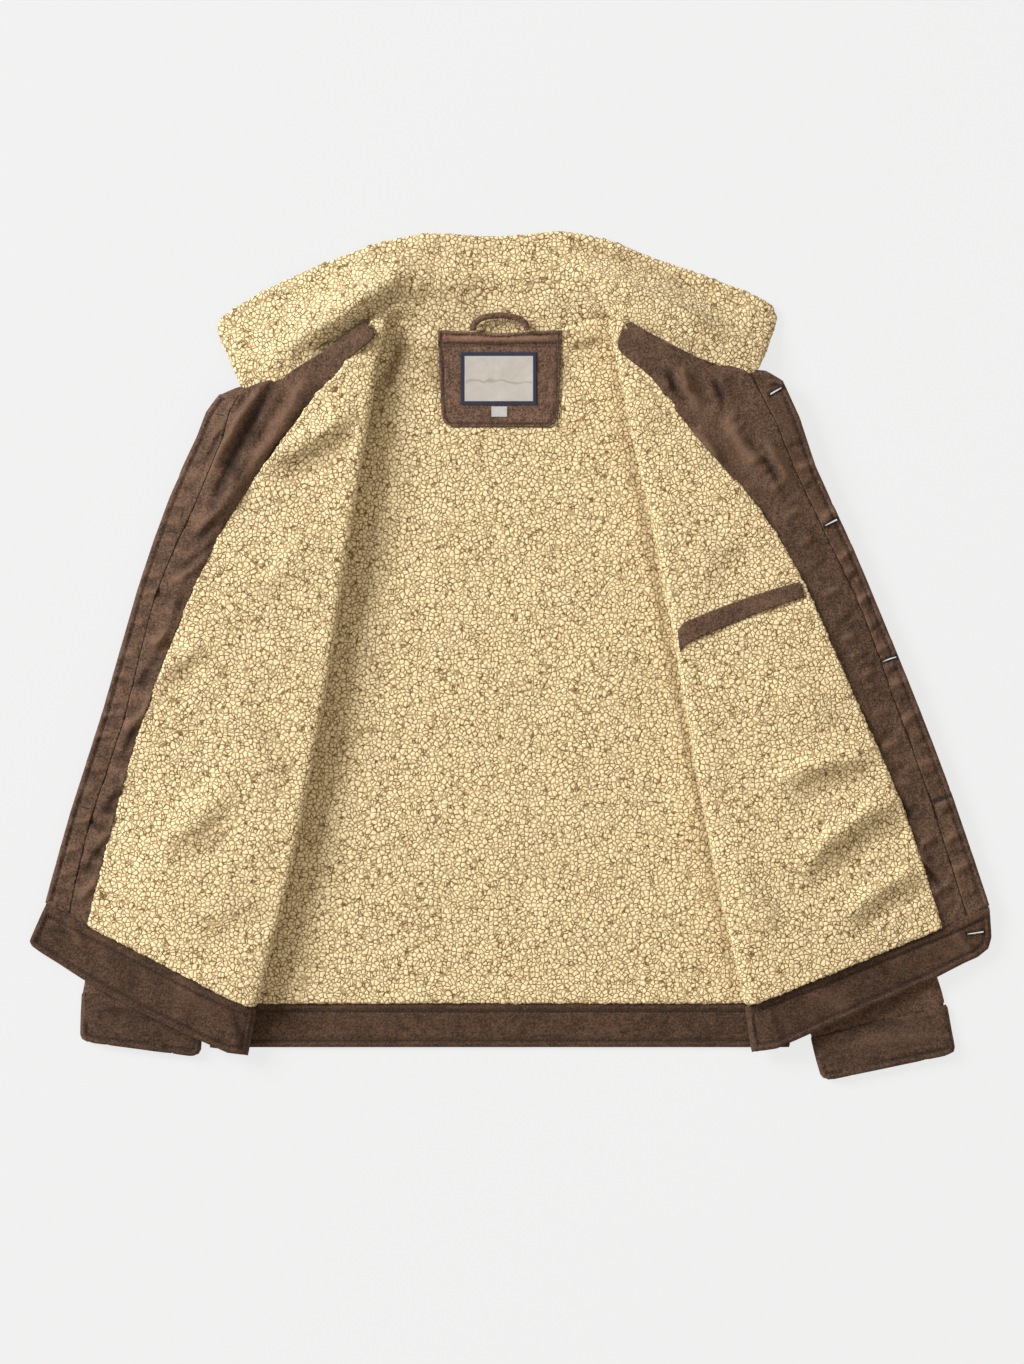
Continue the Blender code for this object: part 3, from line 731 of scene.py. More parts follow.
def hidden_by(panel, backing):
    """Faces of the pile that lie against the piece beneath it."""
    tree = tree_of(backing)
    hidden = np.zeros(len(panel.faces), bool)
    for index, (centre, normal) in enumerate(zip(panel.centres, panel.face_normals)):
        found, _, _, distance = tree.find_nearest(Vector(centre), BACKING_REACH)
        if found is not None:
            toward = np.array(found) - centre
            hidden[index] = toward @ normal > 0.55 * max(distance, 1e-6)
    return hidden


def fleece_skin(node, voxel, backing):
    """The open side of a lining as a smooth skin, without what lies against its backing."""
    panel = remeshed(node, voxel)
    panel.keep(~hidden_by(panel, backing))
    panel.relax(6, along_normal=False, keep_rims=False)
    panel.relax(14, keep_rims=False)
    panel.study()
    return panel


def make_back_lining():
    """The fleece of the back, which the neck patch presses flat beneath it."""
    panel = remeshed("back_lining", PILE_VOXEL)
    low = panel.points[:, 2].min()
    panel.keep(~((panel.face_normals[:, 2] < -0.6) & (panel.centres[:, 2] < low + 1.5)))
    panel.relax(5, along_normal=False, keep_rims=False)
    top = smooth(panel.points[:, 2], low + 2, low + 4)
    panel.lift(top * creases(panel.points, BACK_CREASES))
    panel.lift(top * unevenness(panel.points, BACK_WAVES, 3))
    free = outside_patch(panel.points)
    panel.lift(top * (free - 1) * PATCH_PRESS)
    # Painted shade darkens the pile in its hollows at the neck and beside the folds of the fronts.
    panel.shade = creases(panel.points, BACK_PAINTED_SHADE)
    made = panel_piece("back_lining_pile", panel, PILE, "sherpa", "back_lining")
    raise_curls(made, CURL_LIFT * free * (1.0 + 0.2 * ripple(panel.points, 60.0, 5)))
    return made


def outside_patch(points):
    """0 under the neck patch, rising to 1 just outside it."""
    low, high = box_mm("neck_patch")
    beyond = np.maximum(low[:2] - points[:, :2], points[:, :2] - high[:2]).max(axis=1)
    return smooth(beyond, -1.5, 2.5)


def make_front_lining(side, rows, seed):
    """The fleece of one front, with its deep folds, round the roll and a little under it."""
    node = side + "_front_lining"
    panel = fleece_skin(node, PILE_VOXEL, side + "_front_shell")
    upper = open_share(panel)
    square_roll(panel, ROLL_SQUARED * upper[:, None])
    panel.relax(2, keep_rims=False)
    panel.study()
    folds = upper * creases(panel.points, rows)
    panel.lift(np.maximum(FOLD_DEPTH * folds, DEEPEST_FOLD * np.tanh(-folds / 2.0)))
    # Painted shade darkens the pile in the troughs of its folds.
    panel.shade = np.clip(-FOLD_SHADE * folds, 0.0, 0.4)
    panel.lift(upper * unevenness(panel.points, FRONT_WAVES, seed))
    made = panel_piece(node + "_pile", panel, PILE, "sherpa", node)
    lift = CURL_LIFT * (1.0 + 0.2 * ripple(panel.points, 60.0, seed + 2)) * (0.6 + 0.4 * upper)
    raise_curls(made, lift)
    return made


def open_share(panel):
    """1 on the opened upper part of a front, 0 on the part that lies under it."""
    points = panel.points
    inside = np.abs(points[:, 0] + CENTRE_SHIFT) < side_width(points[:, 1])
    high = smooth(points[:, 2], *UNDER_TOP)
    return np.where(inside, high * smooth(panel.normals[:, 2], -0.6, 0.2), 1.0)


def side_width(y):
    """Half width of the body beneath a front at this height."""
    return np.interp(y, SIDE_Y, SIDE_X)


def make_collar_lining():
    """The fleece of the collar, drawn out over the edges of its neighbours."""
    panel = fleece_skin("collar_lining", COLLAR_VOXEL, "collar_shell")
    reach_to(panel, COLLAR_NEIGHBOURS, COLLAR_REACH, COLLAR_OVERLAP)
    panel.study()
    panel.relax(4, along_normal=False, keep_rims=False)
    for x, y, across, down in COLLAR_TUCKS:
        near = bell(np.hypot(panel.points[:, 0] - x, panel.points[:, 1] - y), TUCK_WIDTH)
        panel.points[:, :2] += near[:, None] * (across, down)
    panel.lift(creases(panel.points, COLLAR_CREASES))
    # Painted shade darkens the pile in the collar's hollows.
    panel.shade = creases(panel.points, COLLAR_PAINTED_SHADE)
    panel.lift(unevenness(panel.points, COLLAR_WAVES, 31))
    made = panel_piece("collar_lining_pile", panel, COLLAR_PILE, "sherpa", "collar_lining")
    raise_curls(made, CURL_LIFT * (1.05 + 0.2 * ripple(panel.points, 50.0, 33)))
    return made


# ------------------------------------------------------------------ the suede


def loops_of(panel):
    """Outlines of the panel's upper side in order, the longest first, then its holes."""
    faces = panel.faces[panel.face_normals[:, 2] > 0.3]
    ends = np.stack((faces, np.roll(faces, -1, axis=1)), 2).reshape(-1, 2)
    keys = ends[:, 0] * len(panel.points) + ends[:, 1]
    back = ends[:, 1] * len(panel.points) + ends[:, 0]
    following = {}
    for start, end in ends[~np.isin(keys, back)].tolist():
        following.setdefault(start, []).append(end)
    loops = []
    while following:
        start = next(iter(following))
        here = following[start].pop()
        loop = [start]
        while here != start and following.get(here):
            loop.append(here)
            here = following[here].pop()
        following = {point: ends for point, ends in following.items() if ends}
        loops.append(panel.points[loop])
    loops.sort(key=lambda loop: -np.ptp(loop, axis=0).sum())
    return loops


def inset_line(loop, inset, spacing=1.5):
    """The outline moved inward, in plan, as even points, and whether each may be sewn."""
    plan = loop[:, :2]
    closed = np.vstack((plan, plan[:1]))
    run = np.concatenate(([0.0], np.cumsum(np.linalg.norm(np.diff(closed, axis=0), axis=1))))
    places = np.arange(0.0, run[-1], spacing)
    even = np.stack([np.interp(places, run, closed[:, axis]) for axis in (0, 1)], 1)
    blur = np.stack([np.roll(even, shift, axis=0) for shift in (-2, -1, 0, 1, 2)]).mean(axis=0)
    heading = np.roll(blur, -1, axis=0) - np.roll(blur, 1, axis=0)
    heading /= np.maximum(np.linalg.norm(heading, axis=1), 1e-9)[:, None]
    area = (blur[:, 0] * np.roll(blur[:, 1], -1) - np.roll(blur[:, 0], -1) * blur[:, 1]).sum()
    inward = np.stack((-heading[:, 1], heading[:, 0]), 1) * np.sign(area)
    line = blur + inward * inset
    # In a sharp corner the line would cross itself, where it comes too near to the outline.
    gaps = np.linalg.norm(line[:, None, :] - even[None, ::3, :], axis=2).min(axis=1)
    return line, gaps > inset * 0.93


def plan_distance(points, line):
    """Distance in plan from each point to the nearest point of a line."""
    finder = KDTree(len(line))
    for index, spot in enumerate(line):
        finder.insert((spot[0], spot[1], 0.0), index)
    finder.balance()
    return np.array([finder.find((x, y, 0.0))[2] for x, y, _ in points.tolist()])


def sew(panel, loop, runs, inset):
    """Sinks the upper side along its stitches, paints shadow into that groove, and rounds up the turned
    edge.
    """
    upper = np.flatnonzero(panel.normals[:, 2] > 0.2)
    points = panel.points[upper]
    stitched = plan_distance(points, np.vstack(runs))
    edge = plan_distance(points, loop)
    beside = np.clip(edge / inset, 0.0, 1.0)
    near_run = smooth(stitched, inset * 1.6, inset * 1.05)
    heights = TURNED_EDGE * np.sin(math.pi * beside) * near_run * (edge < inset)
    heights -= SEAM_DEPTH * bell(stitched, SEAM_WIDTH)
    panel.points[upper, 2] += heights
    # Painted shadow in the groove along the stitches.
    panel.shade[upper] += bell(stitched, STITCH_SHADOW_WIDTH) * (1 - panel.shade[upper])


def stitch_mesh(name, panel, runs, finish, slot, thread):
    """Short thread lengths end to end along each run, lying on the panel."""
    radius, pitch, length = thread
    tree = BVHTree.FromPolygons(panel.points.tolist(), panel.faces.tolist())
    points = []
    faces = []
    profile = ((-0.5, 0.3), (-0.3, 1.0), (0.3, 1.0), (0.5, 0.3))
    for run in runs:
        steps = np.linalg.norm(np.diff(run, axis=0), axis=1)
        places = np.concatenate(([0.0], np.cumsum(steps)))
        for place in np.arange(pitch / 2, places[-1], pitch):
            ends = []
            for nudge in (-0.5, 0.5):
                x, y = (np.interp(place + nudge, places, run[:, axis]) for axis in (0, 1))
                found, normal, _, _ = tree.ray_cast(Vector((x, y, ABOVE_ALL)), Vector((0, 0, -1)))
                if found is not None:
                    ends.append((found, normal))
            if len(ends) < 2:
                continue
            (first, normal), (second, _) = ends
            along = (second - first).normalized()
            sideways = normal.cross(along).normalized()
            up = along.cross(sideways)
            middle = (first + second) / 2 + up * radius * 0.25
            base = len(points)
            for reach, size in profile:
                for corner in range(THREAD_SIDES):
                    turn = TAU * corner / THREAD_SIDES
                    rim = sideways * math.cos(turn) + up * math.sin(turn)
                    spot = middle + along * reach * length + rim * radius * size
                    points.append(tuple(spot - up * abs(reach) * radius * 0.8))
            for ring in range(len(profile) - 1):
                near = base + ring * THREAD_SIDES
                far = near + THREAD_SIDES
                for corner in range(THREAD_SIDES):
                    following = (corner + 1) % THREAD_SIDES
                    faces.append((near + corner, near + following, far + following, far + corner))
            last = base + THREAD_SIDES * (len(profile) - 1)
            faces.append(tuple(base + corner for corner in reversed(range(THREAD_SIDES))))
            faces.append(tuple(last + corner for corner in range(THREAD_SIDES)))
    mesh = bpy.data.meshes.new(name)
    mesh.from_pydata([Vector(point) * MM for point in points], [], faces)
    mesh.validate()
    add_piece(name, mesh, finish, slot)


def runs_where(line, allowed, test):
    """Stretches of an inset line that pass the test on x and y, longest first."""
    kept = allowed & np.array([bool(test(x, y)) for x, y in line])
    if kept.all():
        return [np.vstack((line, line[:1]))]
    if not kept.any():
        return []
    start = int(np.flatnonzero(~kept)[0])
    line = np.roll(line, -start, axis=0)
    kept = np.roll(kept, -start)
    runs = []
    current = []
    for point, good in zip(line, kept):
        if good:
            current.append(point)
        elif current:
            runs.append(current)
            current = []
    if current:
        runs.append(current)
    return [np.array(run) for run in sorted(runs, key=len, reverse=True) if len(run) > SHORTEST_RUN]


def widen_facing_end(panel, side):
    """Squares off the narrow end of a facing, which lies over the pile at the neck."""
    levels, outer, inner, reach, middle, spread = FACING_END[side]
    x, y = panel.points[:, 0], panel.points[:, 1]
    outside = np.interp(y, levels, outer)
    share = np.clip((x - outside) / (np.interp(y, levels, inner) - outside), 0.0, 1.0)
    panel.points[:, 0] += reach * share * bell(y - middle, spread)
    panel.lift(END_RISE * (0.35 + 0.65 * share) * bell(y - middle, spread + 4.0))


def swell_facing(panel, side):
    """Lets the inner edge of a facing belly out over the pile beside it."""
    middle, spread, reach, lift, width = FACING_BELLY[side]
    x, y = panel.points[:, 0], panel.points[:, 1]
    from_line = np.sign(reach) * (x - np.polyval(np.polyfit(y, x, 3), y))
    share = np.clip(0.5 + from_line / width, 0.0, 1.0)
    near = bell(y - middle, spread)
    panel.points[:, 0] += reach * share * near
    panel.lift(lift * share**2 * near)


def shape_facing(panel, side):
    """Gives a facing its belly and its blunt end."""
    swell_facing(panel, side)
    widen_facing_end(panel, side)


def beyond(node, side, upward=False):
    """A test that is true past the middle line of a strip, on its side -1 or 1."""
    spots = spots_of(node)
    along, across = (0, 1) if upward else (1, 0)
    line = np.polyfit(spots[:, along], spots[:, across], 3)

    def test(x, y):
        place = (x, y)
        return side * (place[across] - np.polyval(line, place[along])) > OFF_MIDDLE

    return test


def ruches(node, spacing, seed):
    """Short uneven ridges and troughs across a strip, drawn up by its seams."""
    draw = np.random.default_rng(seed)
    spots = spots_of(node)
    line = np.polyfit(spots[:, 1], spots[:, 0], 3)
    slope = np.polyder(line)
    rows = []
    y = spots[:, 1].min() + 20.0
    while y < spots[:, 1].max() - 60.0:
        x = np.polyval(line, y) + draw.uniform(-3.0, 3.0)
        across = np.array((1.0, -np.polyval(slope, y) + draw.uniform(-0.1, 0.5)))
        across *= draw.uniform(7.0, 13.0) / np.linalg.norm(across)
        height = draw.uniform(0.7, 1.3) * (-1, 1)[len(rows) % 2]
        ends = (x - across[0], y - across[1], x + across[0], y + across[1])
        rows.append((*ends, draw.uniform(-1.5, 1.5), draw.uniform(2.8, 4.6), height))
        y += spacing * draw.uniform(0.5, 1.5)
    return rows


def tacks(name, panel, marks, slot):
    """Short dense bars of thread: x, y of the middle, then x, y to its end."""
    runs = []
    for x, y, reach_x, reach_y in marks:
        shares = np.linspace(-1, 1, 9)[:, None]
        runs.append(np.array((x, y)) + shares * (reach_x, reach_y))
    stitch_mesh(name, panel, runs, DARK_THREAD, slot, TACK_THREAD)


def pinch(panel, loop, first, last):
    """Draws the two edges of a buttonhole together by these shares at its ends."""
    middle = loop[:, :2].mean(axis=0)
    along = np.linalg.svd(loop[:, :2] - middle)[2][0]
    along *= np.sign(along[0])
    across = np.array((-along[1], along[0]))
    reach = np.abs((loop[:, :2] - middle) @ along).max()
    half_width = np.abs((loop[:, :2] - middle) @ across).max()
    # The cloth moves with the hole's edges, less and less with the distance from them.
    for points in (panel.points, loop):
        place = (points[:, :2] - middle) @ along / reach
        off = (points[:, :2] - middle) @ across
        share = first + (last - first) * np.clip((place + 1) / 2, 0.0, 1.0)
        near = smooth(-np.abs(place), -1.15, -0.95)
        near *= smooth(-np.abs(off), -PINCH_REACH, -half_width)
        moved = -np.sign(off) * np.minimum(np.abs(off), half_width) * share * near
        points[:, :2] += moved[:, None] * across


def widen_welt(panel):
    """Makes the pocket welt wider about its own middle line, in plan."""
    x, y = panel.points[:, 0], panel.points[:, 1]
    slope, start = np.polyfit(x, y, 1)
    panel.points[:, 1] += WELT_WIDENED * (y - (slope * x + start))


def sewn_panel(
    node, step, cloth, seams=(), rows=(), waves=(), seed=0, passes=24, joined=(), marks=(),
    reshape=None, lines=(), closings=(), painted_shade_rows=(),
):
    """A piece of cloth, creased, joined to its neighbours and sewn.

    A seam is an inset and a test of x and y, a wave is a length and a height, and lines are
    Closings draw the buttonholes together, the top one first, and the rows of painted shade, or of
    painted highlight where negative, have the form of creases.
    """
    finish, slot = cloth
    panel = sliced(node, step)
    loops = loops_of(panel) if seams else []
    panel.relax(passes)
    panel.study()
    if reshape:
        reshape(panel)
    folds = creases(panel.points, rows)
    # Painted shade darkens the troughs and painted highlight pales the ridges, and the listed rows add
    # more painted shade and highlight.
    panel.shade = np.clip(-CREASE_SHADE * folds, -0.4, 0.7) + creases(panel.points, painted_shade_rows)
    panel.lift(CREASE_DEPTH * creases(panel.points, rows, LIPS))
    panel.lift(unevenness(panel.points * (1, 1, 0), waves, seed))
    if joined:
        reach_to(panel, joined, JOIN_REACH, JOIN_OVERLAP)
        panel.study()
    smallest, largest = HOLE_SIZES
    holes = [loop for loop in loops[1:] if smallest < np.ptp(loop[:, :2], axis=0).max() < largest]
    holes.sort(key=lambda loop: -loop[:, 1].mean())
    for loop, (first, last) in zip(holes, closings):
        pinch(panel, loop, first, last)
        # Painted shade darkens the cloth round each buttonhole.
        bound = smooth(-plan_distance(panel.points, loop), *HOLE_SHADE_REACH)
        panel.shade += bound * (1 - panel.shade)
    all_runs = []
    for inset, test in seams:
        line, allowed = inset_line(loops[0], inset)
        runs = runs_where(line, allowed, test)
        sew(panel, loops[0], runs, inset)
        all_runs += runs
    for line in lines:
        sew(panel, loops[0], [line], LINE_INSET)
        all_runs.append(line)
    made = panel_piece(node + "_cloth", panel, finish, slot, node)
    if all_runs:
        panel.study()
        stitch_mesh(node + "_stitches", panel, all_runs, SHADED_THREAD, slot, SEAM_THREAD)
    if marks:
        tacks(node + "_tacks", panel, marks, slot)
    if holes:
        edges = [inset_line(loop, -HOLE_EDGE, HOLE_SPACING)[0] for loop in holes]
        bound = [np.vstack((line, line[:2])) for line in edges]
        stitch_mesh(node + "_buttonhole_edges", panel, bound, DARK_THREAD, slot, HOLE_THREAD)
    return made


# ------------------------------------------------------------------ tables

# Creases: start x, y, end x, y, how far it bows, half width, height (negative: a trough)
LEFT_FACING_CREASES = (
    (-220, 262, -288, 120, -4, 5.5, -3.2),
    (-234, 256, -290, 158, -3, 5.0, 2.2),
    (-247, 248, -290, 174, -3, 3.6, -1.9),
    (-192, 262, -286, 126, 5, 6.5, 2.2),
    (-186, 246, -232, 182, 3, 4.5, -1.6),
    (-256, 236, -280, 206, 2, 4.0, 1.6),
    (-247, 178, -292, 108, 0, 6.0, -3.4),
    (-254, 166, -296, 116, 3, 6.0, 2.6),
    (-277, 110, -312, 80, 3, 4.5, -3.0),
    (-283, 101, -316, 72, 2, 4.5, 2.2),
    (-306, 60, -330, 22, 3, 5.5, -2.2),
    (-314, 44, -338, 4, 0, 5.0, 2.2),
    (-330, -2, -350, -34, -3, 5.0, -2.0),
    (-336, -34, -362, -70, 3, 5.0, 2.0),
    (-352, -66, -366, -96, 0, 4.5, -2.0),
    (-352, -102, -378, -132, 3, 5.0, 2.0),
    (-366, -120, -384, -152, 0, 4.5, -2.0),
    (-372, -152, -394, -184, 3, 5.0, 1.9),
    (-384, -178, -402, -206, 0, 4.5, -1.8),
    (-388, -204, -408, -232, 2, 4.5, 1.6),
)
RIGHT_FACING_CREASES = (
    (148, 274, 155, 252, 1, 3.4, -3.2),
    (161, 272, 169, 250, 1, 4.0, 2.4),
    (191, 262, 202, 238, 1, 3.6, -3.0),
    (229, 200, 257, 158, 2, 4.4, -2.0),
    (240, 202, 266, 160, 2, 5.2, 1.8),
    (206, 226, 236, 176, -3, 6.0, 1.8),
    (138, 272, 166, 238, 3, 5.0, -1.9),
    (152, 266, 180, 232, 2, 5.5, 2.0),
    (172, 212, 198, 178, 3, 5.0, 1.6),
    (176, 196, 204, 160, 2, 4.5, -1.8),
    (222, 126, 246, 92, 2, 4.0, -2.0),
    (229, 120, 256, 84, 3, 4.5, 2.1),
    (238, 100, 262, 76, 2, 4.0, -1.9),
    (254, 66, 276, 36, 0, 4.5, 1.9),
    (262, 48, 284, 22, 2, 4.0, -1.5),
    (276, 24, 300, -4, 2, 4.5, -2.0),
    (286, -10, 318, -42, 0, 5.0, 1.9),
    (308, -44, 338, -66, 3, 4.5, -2.0),
    (326, -84, 356, -112, 2, 5.0, 1.8),
    (352, -134, 384, -160, 3, 5.0, -2.0),
    (368, -172, 396, -200, 2, 4.5, 2.0),
    (386, -198, 410, -222, 2, 4.0, -1.9),
)
BACK_CREASES = (
    (-40, 186, 70, 180, 4, 4.0, -1.3),
    (-150, 60, -60, 130, 8, 24.0, -1.2),
    (60, -40, 170, 20, 10, 26.0, 1.4),
    (-190, -180, -40, -150, -8, 22.0, 1.2),
    (-30, -250, 120, -230, 8, 22.0, -1.1),
)
LEFT_LINING_CREASES = (
    (-150, 232, -236, 184, 5, 12.0, 3.8),
    (-148, 208, -218, 170, 5, 10.0, -4.2),
    (-262, -128, -326, -168, 4, 16.0, 2.6),
    (-262, -158, -320, -190, 4, 14.0, -3.2),
    (-292, 14, -330, -14, 2, 10.0, 2.0),
    (-294, -8, -332, -36, 2, 9.0, -2.6),
    (-190, 120, -250, 60, 8, 16.0, 1.8),
    (-220, -230, -290, -262, 6, 16.0, -2.0),
    (-236, -60, -216, -140, 8, 16.0, -1.6),
)
RIGHT_LINING_CREASES = (
    (252, -118, 340, -96, 6, 10.0, 3.0),
    (266, -140, 346, -112, 6, 10.0, -3.6),
    (276, -200, 368, -136, 8, 10.0, 3.4),
    (286, -218, 376, -156, 8, 10.0, -4.2),
    (318, -246, 392, -200, 6, 9.0, 2.8),
    (330, -260, 398, -220, 6, 8.0, -3.4),
    (210, -190, 250, -260, -6, 14.0, 2.0),
    (190, 60, 230, 100, 4, 12.0, -1.6),
    (240, -30, 300, -60, 4, 14.0, 1.6),
)
COLLAR_CREASES = (
    (-212, 296, -96, 372, -6, 11.0, 7.5),
    (-198, 284, -112, 340, -7, 9.0, -5.8),
    (-126, 338, -8, 336, 5, 8.0, -3.4),
    (-70, 362, 50, 364, -4, 11.0, 3.0),
    (46, 368, 212, 298, 6, 9.0, 6.0),
    (66, 384, 192, 336, 7, 8.0, -4.4),
    (-100, 388, -30, 392, 3, 7.0, 1.6),
)
LEFT_BAND_CREASES = (
    (-440, -262, -412, -268, 2, 4.0, -1.4),
    (-420, -252, -404, -276, 1, 4.0, 1.2),
    (-380, -280, -350, -310, 2, 8.0, -1.0),
    (-320, -306, -280, -340, 2, 8.0, 1.0),
    (-262, -334, -250, -372, 1, 5.0, -1.2),
)
RIGHT_BAND_CREASES = (
    (250, -336, 262, -368, 1, 5.0, -1.2),
    (290, -320, 330, -344, 2, 8.0, 1.0),
    (350, -296, 380, -318, 2, 8.0, -1.0),
    (420, -262, 440, -286, 1, 4.0, 1.2),
)
CUFF_CREASES = (
    (-400, -340, -330, -352, 3, 7.0, -0.9),
    (-380, -330, -300, -336, 3, 7.0, 0.9),
    (300, -350, 380, -352, 3, 7.0, -0.9),
    (330, -370, 410, -362, 3, 7.0, 0.9),
)
PATCH_CREASES = (
    (-64, 294.5, 44, 294.5, 0, 2.2, -0.7),
    (-64, 301.0, 44, 301.0, 0, 5.0, 0.9),
)
# The same form, but how much painted shade darkens the pile in its hollows and beside the folds, up to 1
COLLAR_PAINTED_SHADE = (
    (-196, 280, -112, 336, -7, 7.5, 0.5),
    (-126, 336, -20, 332, 5, 6.0, 0.36),
    (72, 384, 190, 338, 7, 5.0, 0.3),
    (84, 322, 196, 286, 2, 4.0, 0.3),
)
BACK_PAINTED_SHADE = (
    (-102, 304, -122, 252, 3, 7.5, 0.85),
    (-122, 262, -136, 200, 0, 9.0, 0.4),
    (-78, 300, -71, 250, 0, 6.5, 0.55),
    (54, 294, 90, 303, -3, 5.5, 0.75),
    (52, 296, 54, 250, 0, 5.0, 0.4),
    (92, 300, 216, -336, 0, 4.5, 0.5),
)
# The same form, but how much painted shade darkens the suede, or how much painted highlight pales it
# where negative
PATCH_SHADE_AND_HIGHLIGHT = ((-64, 303.0, 44, 303.0, 0, 7.0, -0.5), (-60, 262, 40, 246, 3, 10.0, 0.12))
FACING_SHADE_AND_HIGHLIGHT = (
    (-232, 230, -270, 160, 0, 9.0, 0.25),
    (-205, 262, -262, 170, 0, 8.0, -0.12),
    (-340, 10, -408, -230, 3, 8.0, 0.2),
    (170, 262, 240, 150, -4, 12.0, -0.22),
    (316, -20, 402, -230, -3, 12.0, 0.32),
    (236, 92, 292, 0, -3, 8.0, 0.12),
)
PLACKET_PAINTED_HIGHLIGHT = {"left": (), "right": ((236, 270, 372, -90, 0, 60.0, -0.25),)}
# How far apart the ruches of the facings and plackets are
RUCHE_SPACING = {"left": 12.0, "right": 20.0}
# How far each buttonhole is closed at its inner and its outer end, the top one first
PLACKET_CLOSINGS = ((0.0, 0.6), (0.6, 0.0), (0.7, 0.0), (0.97, 0.97))
BAND_CLOSINGS = ((0.5, 0.1),)
# End of a facing: levels, its outer and inner edge there, how far it widens, where, how soon
FACING_END = {
    "left": ((274, 288, 302, 316), (-178, -167, -149, -136), (-157, -148, -137, -133), 10.0, 298.0, 14.0),
    "right": ((271, 287, 300, 315), (195, 165, 142, 121), (132, 120, 114, 111), -17.5, 289.0, 18.0),
}
# Where and how far the inner edge of a facing bellies out, its rise there, and its width
FACING_BELLY = {"left": (205.0, 50.0, 1.0, 0.0, 55.0), "right": (208.0, 52.0, -6.5, 4.5, 55.0)}
# Corners of the collar drawn over the facings: x, y, then how far across and down
COLLAR_TUCKS = ((-246, 264, 0.0, -8.0), (226, 278, 0.0, -7.0))
# What the fleece of the collar is drawn out to
COLLAR_NEIGHBOURS = (
    "left_facing", "right_facing", "left_front_lining", "right_front_lining", "back_lining"
)
# The body beneath the fronts: how far left its middle is, and its half width up it
CENTRE_SHIFT = 10.0
SIDE_Y = (-330, -244, -142, -23, 43, 138, 195, 233, 255)
SIDE_X = (275, 279, 285, 292, 294, 247, 238, 240, 244)


# ------------------------------------------------------------------ finishes

# A finish of a sewn piece comes with the material slot that it belongs to.
PILE = pile_finish("sherpa pile")
COLLAR_PILE = pile_finish("sherpa pile of the collar", 0.96)
FACING = (suede_finish("suede of the facings", (0.092, 0.0525, 0.0325)), "suede_facing")
SHELL = (suede_finish("suede of the shell", (0.098, 0.056, 0.0345)), "suede_shell")
# The bands and cuffs are darker copies of the same suede, painted darker as shade for how light falls on
# their crosswise nap.
BAND = (suede_finish("suede of the bands", (0.066, 0.036, 0.0212), (0.3, 1.0, 1.0)), "suede_band")
CUFF = (suede_finish("suede of the cuffs", (0.066, 0.037, 0.023), (0.3, 1.0, 1.0)), "suede_band")
PATCH = (suede_finish("suede of the neck patch", (0.122, 0.07, 0.046)), "suede_patch")
# The seam thread is darker than the suede, partly its own colour and partly painted shade of the grooves
# it lies in.
SHADED_THREAD = thread_finish("brown thread", (0.048, 0.028, 0.019))
DARK_THREAD = thread_finish("dark brown thread", (0.018, 0.011, 0.008))
LABEL_WEAVE = label_finish(
    "woven main label", "main_label", (0.035, 0.04, 0.075), (0.66, 0.615, 0.55), edge=3.6, stripe=1.6
)
LABEL = (LABEL_WEAVE, "label_cloth")
SIZE_LABEL_WEAVE = label_finish(
    "woven size label", "size_label", (0.60, 0.60, 0.57), (0.66, 0.66, 0.62), edge=0.7, stripe=0.01
)
SIZE_LABEL = (SIZE_LABEL_WEAVE, "size_label_cloth")
METAL = metal_finish("burnished button metal")


def everywhere(x, y):
    """The test of a seam that goes all round its piece."""
    return True


def tack_spots(side):
    """Tacks of the left placket, where its buttons are set behind; the lowest is on the band."""
    if side == "right":
        return ()
    spots = []
    for number in range(1, BUTTONS):
        low, high = box_mm(f"button_{number}")
        spots.append((*((low + high) / 2)[:2], 4.0, -1.0))
    return spots


def make_side(made, side, sign, rows, band_rows):
    """The suede pieces of one front and its sleeve; sign is -1 on the left and 1 on the right."""
    facing, placket, shell, sleeve, cuff, waistband = (
        side + part for part in ("_facing", "_placket", "_front_shell", "_sleeve", "_cuff", "_waistband")
    )
    spacing = RUCHE_SPACING[side]
    made[facing] = sewn_panel(
        facing, PANEL_STEP, FACING, (), (*rows, *ruches(facing, spacing, 140 + sign)),
        ((22.0, 0.6), (48.0, 0.9)), 60 + sign, reshape=lambda panel: shape_facing(panel, side),
        painted_shade_rows=FACING_SHADE_AND_HIGHLIGHT,
    )
    made[placket] = sewn_panel(
        placket, FINE_STEP, FACING, ((PLACKET_INSET, beyond(placket, sign)),),
        (*rows, *ruches(placket, spacing, 130 + sign)), ((26.0, 0.4),), 70 + sign,
        marks=tack_spots(side), closings=PLACKET_CLOSINGS, painted_shade_rows=PLACKET_PAINTED_HIGHLIGHT[side],
    )
    made[shell] = sewn_panel(shell, SHELL_STEP, SHELL, passes=4)
    made[sleeve] = sewn_panel(
        sleeve, SHELL_STEP, SHELL, waves=((60.0, 0.6),), seed=90 + sign, passes=4, joined=(cuff,)
    )
    made[cuff] = sewn_panel(
        cuff, FINE_STEP, CUFF, ((CUFF_INSET, beyond(cuff, -1, True)),), CUFF_CREASES,
        ((24.0, 0.35),), 100 + sign, 8, (sleeve,),
    )
    made[waistband] = sewn_panel(
        waistband, FINE_STEP, BAND, ((BAND_INSET, everywhere),), band_rows, ((30.0, 0.5),),
        110 + sign, joined=(placket, facing, shell), closings=BAND_CLOSINGS,
    )


